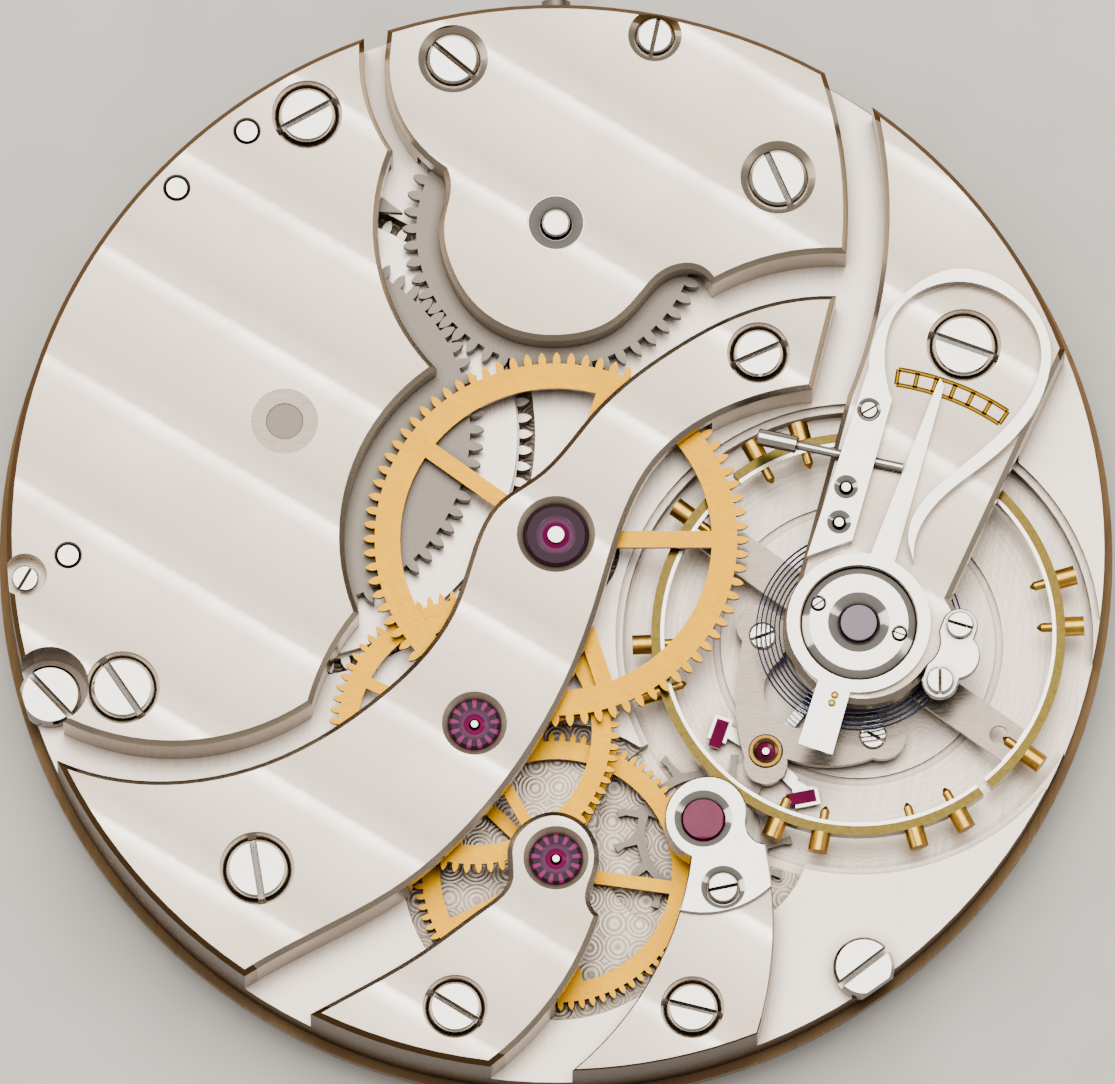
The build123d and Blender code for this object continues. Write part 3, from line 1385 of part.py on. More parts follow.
with BuildPart() as balance_wheel:
    with BuildSketch(level(balance, balance_low)) as ring:
        Circle(rim_joint - press_gap)
        Circle(rim_inner, mode=Mode.SUBTRACT)
    extrude(ring.sketch, amount=balance_high - balance_low)
    with BuildSketch(level(balance, balance_low)) as bar:
        with Locations(Location((0, 0, 0), (0, 0, balance_arm_angle))):
            Rectangle(2 * rim_inner + steel_bevel, balance_arm_width)
        Circle(balance_hub)
        with PolarLocations(arm_hole_ring, 2, start_angle=balance_arm_angle):
            Circle(arm_hole, mode=Mode.SUBTRACT)
    extrude(bar.sketch, amount=balance_arm_thickness)
    rim_cuts()
    rim_bars(rim_inner - overrun, rim_outer, rim_screw_shank + press_gap,
             rim_screw_shank + press_gap, Mode.SUBTRACT)
    turn(balance, balance_low - overrun, balance_high, balance_staff_radius + press_gap,
         Mode.SUBTRACT)
finish(balance_wheel, "balance_wheel")

with BuildPart() as balance_rim:
    with BuildSketch(level(balance, balance_low)) as ring:
        Circle(rim_outer)
        Circle(rim_joint, mode=Mode.SUBTRACT)
    extrude(ring.sketch, amount=balance_high - balance_low)
    rim_cuts()
    rim_bars(rim_inner, rim_outer + overrun, rim_screw_shank + press_gap,
             rim_screw_shank + press_gap, Mode.SUBTRACT)
finish(balance_rim, "balance_rim")

with BuildPart() as balance_screws:
    rim_bars(rim_outer, rim_outer + rim_screw_length, rim_screw_head, rim_screw_head)
    rim_bars(rim_screw_inner, rim_outer, rim_screw_shank, rim_screw_shank)
    rim_bars(rim_screw_inner - rim_screw_tip, rim_screw_inner, rim_screw_tip / 4,
             rim_screw_shank)
finish(balance_screws, "balance_screws")

roller_low = 1.3
roller_high = 1.5
roller_radius = 1.55
impulse_ring = 1.3
impulse_radius = 0.13
impulse_low = 1.17
impulse_place = along(balance, impulse_ring, bearing(balance, pallet))

with BuildPart() as balance_staff:
    turn(balance, balance_staff_low, balance_staff_high, balance_staff_radius)
    turn(balance, lower_jewels, cock_low + jewel_thickness, balance_pivot)
    turn(balance, roller_high + running_clearance, balance_low, balance_hub / 2)
finish(balance_staff, "balance_staff")

with BuildPart() as balance_roller:
    turn(balance, roller_low, roller_high, roller_radius)
    turn(balance, roller_low - overrun, roller_high + overrun, balance_staff_radius + press_gap,
         Mode.SUBTRACT)
    turn(impulse_place, roller_low - overrun, roller_high + overrun, impulse_radius + press_gap,
         Mode.SUBTRACT)
finish(balance_roller, "balance_roller")

with BuildPart() as roller_jewel:
    turn(impulse_place, impulse_low, roller_high, impulse_radius)
finish(roller_jewel, "roller_jewel")

# Balance spring between the collet on the staff and the stud under its carrier
collet_radius = 0.6
collet_low = 2.4
collet_high = 2.68
hairspring_low = 2.45
hairspring_high = 2.62
hairspring_thickness = 0.06
hairspring_turns = 6
half_turn_points = 24
stud_radius = 0.3
stud_low = 2.4
hairspring_end = apart(balance, stud_place)
hairspring_inner = collet_radius + hairspring_thickness / 2 + press_gap
hairspring_step = (hairspring_end - hairspring_inner) / (2 * hairspring_turns)
hairspring_angle = bearing(balance, stud_place) - degrees((stud_radius + press_gap)
                                                          / hairspring_end)

with BuildPart() as hairspring_collet:
    turn(balance, collet_low, collet_high, collet_radius)
    turn(balance, collet_low - overrun, collet_high + overrun, balance_staff_radius + press_gap,
         Mode.SUBTRACT)
finish(hairspring_collet, "hairspring_collet")

with BuildPart() as hairspring:
    extrude(spiral_band(centre, 0, hairspring_inner, hairspring_step, 2 * hairspring_turns,
                        hairspring_thickness), amount=hairspring_high - hairspring_low)
hairspring.part = Pos(balance[0], balance[1], hairspring_low) * (
    Rot(0, 0, hairspring_angle) * hairspring.part)
finish(hairspring, "hairspring")


def spiral_points(inner, step, half_turns, share):
    """Points on the middle line of a spiral strip, a number of them on each half turn."""
    points = []
    radius = inner
    offset_x = 0
    for half_turn in range(half_turns):
        way = 1 if half_turn % 2 == 0 else -1
        for part in range(share):
            angle = radians(180 * part / share)
            points.append((offset_x + way * radius * cos(angle), way * radius * sin(angle)))
        offset_x += way * step
        radius += step
    return points


spring_points = spiral_points(hairspring_inner, hairspring_step, 2 * hairspring_turns,
                              half_turn_points)
spring_gap = min(apart(point, later)
                 for place, point in enumerate(spring_points)
                 for later in spring_points[place + half_turn_points:]) - hairspring_thickness
print("hairspring: least gap to itself, measured on points, mm", round(spring_gap, 3))

# Regulator on the balance cock: cap plate, index, swan-neck spring and stud carrier
balance_cap_radius = 2.0
balance_cap_bevel = 0.3
balance_cap_bevel_height = 0.15
balance_cap_taper = 1.06
small_head_height = 0.2
small_screw_length = 0.9
index_low = 3.71
index_high = 3.9
index_inner = 2.04
index_outer = 2.47
index_arm_pixels = [(868, 558), (936, 385), (939.5, 379), (943, 387), (892, 566)]
index_tail_pixels = [(818, 676), (850, 686), (830.7, 753.3), (796.7, 742.3)]
curb_pin = 0.06
curb_gap = 0.04
curb_angle = -108.0
neck_start_pixels = (806, 556)
neck_pixels = [
    [(868, 368)],
    [(884, 318), (960, 269), (1048, 340), (1042, 392), (1018, 432), (978, 468), (938, 500),
     (920, 524), (912, 561)],
    [(907, 543)],
    [(911, 518), (930, 492), (967, 461), (1006, 426), (1034, 385), (1038, 338), (960, 282),
     (896, 312), (884, 350), (891, 400)],
    [(851, 540)],
]
regulator_head_pixels = (757, 437)
regulator_tip_pixels = (901.6, 468)
regulator_height = 3.95
regulator_head = 0.3
regulator_head_length = 1.4
regulator_shank = 0.16
carrier_radius = 0.62
carrier_waist = 1.0
carrier_waist_depth = 0.2
carrier_belly = 0.85
carrier_belly_shift = 0.2
carrier_top = 3.95
stud_screw_shank = 0.12
stud_screw_low = 3.2

with BuildPart() as balance_cap:
    turn(balance, cock_top, balance_cap_top - balance_cap_bevel_height, balance_cap_radius)
    cone(balance, balance_cap_top - balance_cap_bevel_height, balance_cap_top, balance_cap_radius,
         balance_cap_radius - balance_cap_bevel)
    turn(balance, cock_top - overrun, balance_cap_top + overrun, balance_jewel, Mode.SUBTRACT)
    sink(balance, balance_cap_top, balance_jewel, balance_cap_taper, shallow)
    for place in balance_screw_places:
        turn(place, cock_top - overrun, balance_cap_top + overrun,
             cap_post_shank + running_clearance, Mode.SUBTRACT)
        turn(place, balance_cap_top - cap_post_head_height, balance_cap_top + overrun,
             cap_post_head + running_clearance, Mode.SUBTRACT)
        sink(place, balance_cap_top, cap_post_head + running_clearance, cap_post_taper)
finish(balance_cap, "balance_cap")

curb_way = radians(curb_angle - hairspring_angle)
curb_reach = hairspring_step * cos(curb_way) + (
    (hairspring_end - hairspring_step) ** 2 - (hairspring_step * sin(curb_way)) ** 2) ** 0.5
curb_offset = hairspring_thickness / 2 + curb_gap + curb_pin

with BuildPart() as index:
    with BuildSketch(level(centre, index_low)):
        with Locations(balance):
            Circle(index_outer)
        for corners in (index_arm_pixels, index_tail_pixels):
            with BuildLine():
                Polyline(*[spot(corner, index_high) for corner in corners], close=True)
            make_face()
        with Locations(balance):
            Circle(index_inner, mode=Mode.SUBTRACT)
    extrude(amount=index_high - index_low)
    for side in (-1, 1):
        turn(along(balance, curb_reach + side * curb_offset, curb_angle), hairspring_low,
             index_high, curb_pin)
finish(index, "index")

with BuildPart() as swan_neck:
    extrude(outline(neck_start_pixels, neck_pixels, neck_top, cock_top),
            amount=neck_top - cock_top)
    regulator_start = spot(regulator_head_pixels, regulator_height)
    regulator_end = spot(regulator_tip_pixels, regulator_height)
    regulator_length = apart(regulator_start, regulator_end)
    regulator_plane = Plane((regulator_start[0], regulator_start[1], regulator_height),
                            z_dir=(regulator_end[0] - regulator_start[0],
                                   regulator_end[1] - regulator_start[1], 0))
    with BuildSketch(regulator_plane) as hole:
        Circle(regulator_shank + running_clearance)
    extrude(hole.sketch, amount=regulator_length, mode=Mode.SUBTRACT)
    turn(neck_screw_place, cock_top - overrun, neck_top + overrun,
         neck_screw_shank + running_clearance, Mode.SUBTRACT)
    turn(neck_screw_place, neck_top - small_head_height, neck_top + overrun,
         neck_screw_head + running_clearance, Mode.SUBTRACT)
    sink(neck_screw_place, neck_top, neck_screw_head + running_clearance, neck_taper, shallow)
    for place in neck_pin_places:
        turn(place, cock_top - overrun, neck_top + overrun, neck_pin_radius, Mode.SUBTRACT)
        sink(place, neck_top, neck_pin_radius, neck_taper, shallow)
finish(swan_neck, "swan_neck")

with BuildPart() as regulator_screw:
    with BuildSketch(regulator_plane) as bar:
        Circle(regulator_head)
    extrude(bar.sketch, amount=regulator_head_length)
    chamfer(regulator_screw.edges(), steel_bevel)
    with BuildSketch(regulator_plane) as slot:
        Rectangle(2 * regulator_head, regulator_head * slot_share)
    extrude(slot.sketch, amount=slot_depth, mode=Mode.SUBTRACT)
    with BuildSketch(regulator_plane.offset(regulator_head_length)) as bar:
        Circle(regulator_shank)
    extrude(bar.sketch, amount=regulator_length - regulator_head_length)
finish(regulator_screw, "regulator_screw")

with BuildPart() as stud_carrier:
    with BuildSketch(level(centre, cock_top)):
        for place in (carrier_screw_place, stud_place):
            with Locations(place):
                Circle(carrier_radius)
        carrier_way = bearing(carrier_screw_place, stud_place)
        carrier_span = apart(carrier_screw_place, stud_place)
        with Locations(Location((*carrier_screw_place, 0), (0, 0, carrier_way))):
            Rectangle(carrier_span, 2 * carrier_radius, align=(Align.MIN, Align.CENTER))
        carrier_middle = along(carrier_screw_place, carrier_span / 2, carrier_way)
        with Locations(along(carrier_middle, carrier_belly_shift, carrier_way + 90)):
            Circle(carrier_belly)
        carrier_hollow = carrier_radius - carrier_waist_depth + carrier_waist
        with Locations(along(carrier_middle, carrier_hollow, carrier_way - 90)):
            Circle(carrier_waist, mode=Mode.SUBTRACT)
    extrude(amount=carrier_top - cock_top)
    chamfer(stud_carrier.faces().sort_by(Axis.Z)[-1].edges(), steel_bevel)
    turn(carrier_screw_place, cock_top - overrun, carrier_top + overrun,
         small_screw_shank + running_clearance, Mode.SUBTRACT)
    turn(stud_place, cock_top - overrun, carrier_top + overrun,
         stud_screw_shank + running_clearance, Mode.SUBTRACT)
finish(stud_carrier, "stud_carrier")

with BuildPart() as hairspring_stud:
    turn(stud_place, stud_low, cock_top, stud_radius)
    turn(stud_place, stud_screw_low - air_gap, cock_top + overrun,
         stud_screw_shank + running_clearance, Mode.SUBTRACT)
finish(hairspring_stud, "hairspring_stud")

# Screws
with BuildPart() as plate_screws:
    for name, places in screw_places_pixels.items():
        top = cock_top if name == "balance_cock" else bridge_top
        top = escape_cock_top if name == "escape_cock" else top
        for place, slot_angle, head, taper, slope in places:
            screw(spot(place, top), top, head, bridge_screw_head_height, bridge_screw_shank,
                  bridge_screw_length, slot_angle)
    screw(spot(end_screw_pixels, bridge_top), bridge_top, end_screw_head,
          bridge_screw_head_height, end_screw_shank, bridge_screw_length - running_clearance,
          end_screw_slot)
    for place, slot_angle in case_screw_places_pixels:
        screw(spot(place, case_screw_top), case_screw_top, case_screw_head,
              case_screw_head_height, case_screw_shank, case_screw_length, slot_angle)
    turn(centre, 0, cock_top + overrun, case_screw_reach, Mode.INTERSECT)
finish(plate_screws, "plate_screws")

with BuildPart() as small_screws:
    for place, slot_angle in pallet_screw_places_pixels:
        screw(spot(place, pallet_bridge_top), pallet_screw_top, small_screw_head,
              pallet_screw_head_height, small_screw_shank, pallet_screw_top - 2 * air_gap,
              slot_angle)
    for place, slot_angle in balance_screw_places_pixels:
        screw(spot(place, balance_cap_top), balance_cap_top, cap_post_head, cap_post_head_height,
              cap_post_shank, small_screw_length, slot_angle)
    screw(escape_cap_screw, escape_cap_top, escape_cap_screw_head, small_screw_head_height,
          small_screw_shank, small_screw_length, escape_cap_slot)
    screw(spot(rim_screw_pixels, rim_screw_top), rim_screw_top, small_screw_head,
          small_screw_head_height, small_screw_shank, small_screw_length, rim_screw_slot)
    screw(neck_screw_place, neck_top, neck_screw_head, small_head_height, neck_screw_shank,
          small_screw_length, neck_screw_slot)
    screw(carrier_screw_place, carrier_top + small_head_height, small_screw_head,
          small_head_height, small_screw_shank, small_screw_length, carrier_screw_slot)
    turn(click_post, click_screw_low, click_low - running_clearance, click_screw_head)
    turn(click_post, click_screw_low, click_screw_top - running_clearance, click_shank)
    screw(stud_place, carrier_top + small_head_height, small_screw_head, small_head_height,
          stud_screw_shank, carrier_top + small_head_height - stud_screw_low, stud_screw_slot)
finish(small_screws, "small_screws")

# Posts of the motion work and of the levers, and steady pins of the bridges
with BuildPart() as posts_and_pins:
    for post in (minute, idler, setting):
        turn(post, motion_ceiling, motion_post_depth, motion_post_seat)
        turn(post, hour_low, motion_ceiling, motion_post)
    for post in (lever_post, yoke_post):
        turn(post, post_head_low, lever_low - running_clearance, post_head)
        turn(post, post_head_low, lever_post_depth, lever_post_radius)
    for place in pin_places_pixels:
        turn(spot(place, bridge_top), pin_low, bridge_top - running_clearance,
             pin_radius - press_gap)
    for place in neck_pin_places:
        turn(place, cock_low, neck_top - running_clearance, neck_pin_radius - press_gap)
finish(posts_and_pins, "posts_and_pins")
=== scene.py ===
import bmesh
import bpy
import math
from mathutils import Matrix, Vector


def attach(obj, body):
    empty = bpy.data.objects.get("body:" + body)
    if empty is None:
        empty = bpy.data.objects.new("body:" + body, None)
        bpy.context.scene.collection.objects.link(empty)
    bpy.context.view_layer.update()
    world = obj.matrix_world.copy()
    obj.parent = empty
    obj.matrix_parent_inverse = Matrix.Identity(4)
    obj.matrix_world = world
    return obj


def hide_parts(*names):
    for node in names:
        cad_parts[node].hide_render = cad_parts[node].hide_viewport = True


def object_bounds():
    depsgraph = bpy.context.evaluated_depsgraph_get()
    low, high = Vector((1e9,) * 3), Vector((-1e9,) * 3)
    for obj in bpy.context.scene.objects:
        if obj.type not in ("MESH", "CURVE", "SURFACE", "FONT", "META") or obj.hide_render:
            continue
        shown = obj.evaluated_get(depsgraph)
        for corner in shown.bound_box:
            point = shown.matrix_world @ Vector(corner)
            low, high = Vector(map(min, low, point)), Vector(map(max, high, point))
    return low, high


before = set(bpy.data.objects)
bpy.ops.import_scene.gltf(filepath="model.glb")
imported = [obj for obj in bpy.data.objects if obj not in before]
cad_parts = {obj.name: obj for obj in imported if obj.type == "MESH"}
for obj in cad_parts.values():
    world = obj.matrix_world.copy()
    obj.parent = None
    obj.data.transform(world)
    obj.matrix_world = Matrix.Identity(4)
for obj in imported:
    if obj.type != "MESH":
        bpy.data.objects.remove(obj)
cad_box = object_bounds()
MM = 0.001

# MAIN PLATE
# Brass disc, turned and milled, then nickel-plated. The open top is straight-grained on a stone,
# the milled recesses are covered with small overlapping circles from a turning peg, and the
# turned rim and its step show the brass through the thin plating as a brown gold.
PLATE_TOP = 1.6
TOP_MARGIN = 0.05
STEP_TOP = 0.45
PEG_PITCH = 0.95
PEG_RINGS = 46.0
STONE_GRAIN = 0.1
BALANCE = (10.388, -3.203)
POCKET_RADIUS = 8.4
POCKET_RINGS = 9.0
RIM_RADIUS = 18.4


def srgb(code):
    """A colour written as on a paint card, turned to linear light."""
    parts = [int(code[i:i + 2], 16) / 255 for i in (1, 3, 5)]
    linear = [p / 12.92 if p <= 0.04045 else ((p + 0.055) / 1.055) ** 2.4 for p in parts]
    return (*linear, 1.0)


def add(tree, kind, sources=None, **settings):
    """Adds a node with its settings, its values and its incoming links."""
    node = tree.nodes.new(kind)
    for name, value in settings.items():
        setattr(node, name, value)
    for socket, value in (sources or {}).items():
        if isinstance(value, bpy.types.NodeSocket):
            tree.links.new(value, node.inputs[socket])
        else:
            node.inputs[socket].default_value = value
    return node


def finish(name, **values):
    """A new material with its shader's fixed values, and its tree."""
    material = bpy.data.materials.new(name)
    material.use_nodes = True
    shader = material.node_tree.nodes["Principled BSDF"]
    for socket, value in values.items():
        shader.inputs[socket.replace("_", " ")].default_value = value
    return material, material.node_tree, shader


def dress(material, *nodes):
    """Gives carried-over pieces their finish."""
    for name in nodes:
        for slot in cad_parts[name].material_slots:
            slot.material = material


def millimetres(tree, scale, turn=0.0):
    """Object coordinates in millimetres, turned about the upright axis and stretched."""
    place = add(tree, "ShaderNodeTexCoord")
    turned = add(tree, "ShaderNodeVectorRotate", {"Vector": place.outputs["Object"],
                 "Angle": turn}, rotation_type="Z_AXIS")
    return add(tree, "ShaderNodeMapping", {"Vector": turned.outputs[0],
               "Scale": [s / MM for s in scale]}).outputs[0]


def sums(tree, operation, *values):
    """A number worked out from one, two or three others."""
    return add(tree, "ShaderNodeMath", dict(enumerate(values)), operation=operation).outputs[0]


def blended(tree, share, low, high):
    """A colour part of the way from one to another."""
    colours = {"Factor": share, "A": srgb(low) if isinstance(low, str) else low,
               "B": srgb(high) if isinstance(high, str) else high}
    return add(tree, "ShaderNodeMix", colours, data_type="RGBA").outputs["Result"]


def upward(tree, low, high):
    """One where a face looks up more than high, nought where it does less than low."""
    way = add(tree, "ShaderNodeSeparateXYZ",
              {0: add(tree, "ShaderNodeNewGeometry").outputs["Normal"]})
    return add(tree, "ShaderNodeMapRange", {"Value": way.outputs["Z"], "From Min": low,
               "From Max": high}).outputs[0]


def painted_crevice_shade(tree, reach, deep=0.0, open_share=1.0):
    """One in the open, falling to nought deep in a slot or a corner of that width; used to lay
    painted shade into a colour.
    """
    shelter = add(tree, "ShaderNodeAmbientOcclusion", {"Distance": reach * MM}, samples=6)
    return add(tree, "ShaderNodeMapRange", {"Value": shelter.outputs["AO"], "From Min": deep,
               "From Max": open_share}).outputs[0]


def apart(tree, axis):
    """The distance in millimetres from an upright axis."""
    place = add(tree, "ShaderNodeVectorMath", {0: millimetres(tree, (1, 1, 0)),
                1: (*axis, 0.0)}, operation="SUBTRACT")
    return add(tree, "ShaderNodeVectorMath", {0: place.outputs[0]},
               operation="LENGTH").outputs["Value"]


def near_rim(tree):
    """One on the turned edge of the movement, nought farther in."""
    place = add(tree, "ShaderNodeSeparateXYZ", {0: millimetres(tree, (1, 1, 1))})
    square = sums(tree, "MULTIPLY", place.outputs["X"], place.outputs["X"])
    square = sums(tree, "MULTIPLY_ADD", place.outputs["Y"], place.outputs["Y"], square)
    return sums(tree, "GREATER_THAN", square, RIM_RADIUS ** 2)


plating, tree, shader = finish("nickel-plated brass, grained and circled", Metallic=1.0)
height = add(tree, "ShaderNodeSeparateXYZ", {0: millimetres(tree, (1, 1, 1))}).outputs["Z"]
on_top = sums(tree, "GREATER_THAN", height, PLATE_TOP - TOP_MARGIN)
on_step = sums(tree, "LESS_THAN", height, STEP_TOP)
level = upward(tree, 0.2, 0.6)
rim = near_rim(tree)
grain = add(tree, "ShaderNodeTexNoise", {"Vector": millimetres(
    tree, (1 / STONE_GRAIN, 0.5, 1), 0.12), "Scale": 1.0, "Detail": 4.0}).outputs["Fac"]
spots = add(tree, "ShaderNodeTexVoronoi", {"Vector": millimetres(
    tree, (1 / PEG_PITCH, 1 / PEG_PITCH, 0)), "Scale": 1.0, "Randomness": 0.3})
rings = sums(tree, "SINE", sums(tree, "MULTIPLY", spots.outputs["Distance"],
                                PEG_RINGS))
around = apart(tree, BALANCE)
turning = add(tree, "ShaderNodeCombineXYZ",
              {"X": sums(tree, "MULTIPLY", around, POCKET_RINGS)})
turning = add(tree, "ShaderNodeTexNoise", {"Vector": turning.outputs[0], "Scale": 1.0,
              "Detail": 5.0}).outputs["Fac"]
in_pocket = sums(tree, "LESS_THAN", around, POCKET_RADIUS)
worn = add(tree, "ShaderNodeTexNoise", {"Vector": millimetres(tree, (0.35, 0.35, 0.35)),
           "Scale": 1.0, "Detail": 3.0}).outputs["Fac"]
top_colour = blended(tree, grain, "#c9bcb0", "#f6ece3")
peg_share = add(tree, "ShaderNodeMapRange", {"Value": rings, "From Min": -1.0}).outputs[0]
peg_colour = blended(tree, peg_share, "#766a5e", "#cabdb0")
turned_colour = blended(tree, turning, "#a5998d", "#f6ebe0")
turned_colour = blended(tree, sums(tree, "MULTIPLY", peg_share, 0.2), turned_colour, "#b4a79b")
floor_colour = blended(tree, in_pocket, peg_colour, turned_colour)
floor_colour = blended(tree, sums(tree, "MULTIPLY", worn, 0.4), floor_colour, "#d8cabd")
level_colour = blended(tree, on_top, floor_colour, top_colour)
# Painted shade: upright walls take a darker grey-brown than the levels; at the turned rim they
# take the brown of the brass.
wall_colour_and_shade = blended(tree, worn, "#54463a", "#94856f")
rim_colour = blended(tree, worn, "#382a1a", "#664f33")
wall_colour_and_shade = blended(tree, rim, wall_colour_and_shade, rim_colour)
level_colour = blended(tree, sums(tree, "MULTIPLY", on_step, rim), level_colour, rim_colour)
colour = blended(tree, level, wall_colour_and_shade, level_colour)
# Painted shade: the colour falls to a deep brown in slots and corners.
colour = blended(tree, painted_crevice_shade(tree, 0.6, 0.15, 0.95), "#4a3d30", colour)
tree.links.new(colour, shader.inputs["Base Color"])
rough = add(tree, "ShaderNodeMapRange", {"Value": grain, "To Min": 0.3, "To Max": 0.5})
tree.links.new(rough.outputs[0], shader.inputs["Roughness"])
pegged = add(tree, "ShaderNodeMix", {"Factor": in_pocket, "A": rings,
             "B": sums(tree, "MULTIPLY_ADD", rings, 0.15, turning)},
             data_type="FLOAT").outputs["Result"]
relief = add(tree, "ShaderNodeMix", {"Factor": on_top, "A": pegged, "B": grain},
             data_type="FLOAT").outputs["Result"]
relief = sums(tree, "MULTIPLY", relief, level)
relief = sums(tree, "MULTIPLY", relief, sums(tree, "GREATER_THAN", height, STEP_TOP))
bump = add(tree, "ShaderNodeBump", {"Height": relief, "Distance": 0.012 * MM, "Strength": 0.3})
tree.links.new(bump.outputs[0], shader.inputs["Normal"])
dress(plating, "main_plate")

# BARREL AND WINDING BRIDGES, TRAIN BRIDGE, COCKS
# Nickel-plated brass plates, screwed down over the wheels. Their tops are drawn under a turning
# lap in parallel bands; each band has painted shade across its width and ends in a painted
# highlight line. The edges are bevelled and polished; the flanks are painted darker as shade,
# and the outer flanks have browned.
BAND_PITCH = 4.3
BAND_TILT = math.radians(31.5)
BAND_SHIFT = 0.91
FEATHER = 0.03
LAP_GRAIN = 0.035
CENTRE, THIRD, FOURTH = (0, 0), (-2.797, -6.685), (0, -11.43)
SINKS = ((CENTRE, 1.5), (THIRD, 1.25), (FOURTH, 1.25))

banded, tree, shader = finish("nickel-plated brass, drawn in bands", Metallic=1.0)
place = add(tree, "ShaderNodeSeparateXYZ", {0: millimetres(tree, (1, 1, 1))})
across = sums(tree, "MULTIPLY_ADD", place.outputs["Y"], math.cos(BAND_TILT) / BAND_PITCH,
              sums(tree, "MULTIPLY", place.outputs["X"], math.sin(BAND_TILT) / BAND_PITCH))
feather = add(tree, "ShaderNodeTexNoise", {"Vector": millimetres(tree, (9, 0.6, 1), 0.9),
              "Scale": 1.0, "Detail": 4.0}).outputs["Fac"]
band = sums(tree, "ADD", across, BAND_SHIFT - FEATHER / 2)
band = sums(tree, "FRACT", sums(tree, "MULTIPLY_ADD", feather, FEATHER, band))
# Painted highlight and shade: each band runs from a white line through darker shade across its
# width and brightens again before the next line.
shade = add(tree, "ShaderNodeValToRGB", {0: band})
ramp = shade.color_ramp.elements
ramp[0].color = srgb("#ffffff")
ramp[1].position, ramp[1].color = 1.0, srgb("#ffffff")
for position, code in ((0.03, "#fff8f1"), (0.07, "#b8ada2"), (0.25, "#a4998e"),
                       (0.55, "#b5aa9f"), (0.9, "#cbc0b5"), (0.965, "#efe6dc")):
    ramp.new(position).color = srgb(code)
worn = add(tree, "ShaderNodeTexNoise", {"Vector": millimetres(tree, (0.22, 0.22, 0.22)),
           "Scale": 1.0, "Detail": 6.0, "Roughness": 0.6}).outputs["Fac"]
worn = add(tree, "ShaderNodeMapRange", {"Value": worn, "From Min": 0.4, "From Max": 0.65,
           "To Max": 0.5}).outputs[0]
top_colour = blended(tree, worn, shade.outputs["Color"], "#b3a090")
scratch = add(tree, "ShaderNodeTexNoise", {"Vector": millimetres(
    tree, (0.5, 1 / LAP_GRAIN, 1), -0.35), "Scale": 1.0, "Detail": 3.0}).outputs["Fac"]
top_colour = blended(tree, sums(tree, "MULTIPLY", scratch, 0.22), top_colour, "#b8ada3")
# Painted shade: the flanks take a darker grey-brown than the tops, and a dark brown at the turned
# rim.
flank = blended(tree, worn, "#7c6a57", "#c3b7a8")
flank = blended(tree, near_rim(tree), flank, "#4f3a24")
bevel = blended(tree, near_rim(tree), "#beb1a0", "#6d5232")
bevel = blended(tree, upward(tree, 0.05, 0.4), flank, bevel)
flat = upward(tree, 0.93, 0.99)
colour = blended(tree, flat, bevel, top_colour)
# Painted shade: the colour falls to a dark brown in slots and corners.
colour = blended(tree, painted_crevice_shade(tree, 0.28, 0.15, 0.9), "#6b5c4a", colour)
tree.links.new(colour, shader.inputs["Base Color"])
rough = add(tree, "ShaderNodeMapRange", {"Value": scratch, "To Min": 0.2, "To Max": 0.34})
sinks = [sums(tree, "LESS_THAN", apart(tree, axis), reach) for axis, reach in SINKS]
in_sink = sums(tree, "MAXIMUM", sums(tree, "MAXIMUM", sinks[0], sinks[1]), sinks[2])
polish = add(tree, "ShaderNodeMapRange", {"Value": in_sink, "To Min": 0.26, "To Max": 0.5})
rough = add(tree, "ShaderNodeMix", {"Factor": flat, "A": polish.outputs[0],
            "B": rough.outputs[0]}, data_type="FLOAT")
tree.links.new(rough.outputs["Result"], shader.inputs["Roughness"])
hollow = sums(tree, "SUBTRACT", band, 0.5)
hollow = sums(tree, "MULTIPLY", hollow, hollow)
relief = sums(tree, "MULTIPLY_ADD", scratch, 0.04, hollow)
relief = sums(tree, "MULTIPLY", relief, flat)
bump = add(tree, "ShaderNodeBump", {"Height": relief, "Distance": 0.14 * MM, "Strength": 0.6})
tree.links.new(bump.outputs[0], shader.inputs["Normal"])
dress(banded, "barrel_bridge", "winding_bridge", "train_bridge", "seconds_bridge",
      "escape_cock", "balance_cock")

# RATCHET WHEEL, CROWN WHEEL AND KEYLESS WORK
# Hardened steel, ground flat on a lap and left matt, so it looks a soft even grey with a
# slightly brighter grain; the flanks of its teeth are as the cutter left them. Upright faces are
# painted a darker grey as shade, and slots and corners darker still.
matt_steel, tree, shader = finish("hardened steel, lapped matt", Metallic=1.0)
grain = add(tree, "ShaderNodeTexNoise", {"Vector": millimetres(tree, (14, 14, 14)),
            "Scale": 1.0, "Detail": 6.0}).outputs["Fac"]
tint = blended(tree, grain, "#5c564e", "#918980")
# Painted shade on upright faces, then in slots and corners.
colour = blended(tree, upward(tree, 0.1, 0.6), "#504c48", tint)
colour = blended(tree, painted_crevice_shade(tree, 0.4), "#2e2a26", colour)
tree.links.new(colour, shader.inputs["Base Color"])
rough = add(tree, "ShaderNodeMapRange", {"Value": grain, "To Min": 0.34, "To Max": 0.55})
tree.links.new(rough.outputs[0], shader.inputs["Roughness"])
bump = add(tree, "ShaderNodeBump", {"Height": grain, "Distance": 0.01 * MM, "Strength": 0.25})
tree.links.new(bump.outputs[0], shader.inputs["Normal"])
dress(matt_steel, "ratchet_wheel", "crown_wheel", "click", "click_spring", "winding_pinion",
      "sliding_pinion", "winding_stem", "setting_lever", "yoke", "idler_wheel",
      "setting_wheel", "hairspring_stud", "escape_wheel", "barrel_arbor")

# BARREL
# Brass drum and cover, nickel-plated like the bridges and turned, so fine rings run round them
# and the flat between the teeth and the cover stays bright.
BARREL = (-9.331, 3.999)
BARREL_RINGS = 14.0

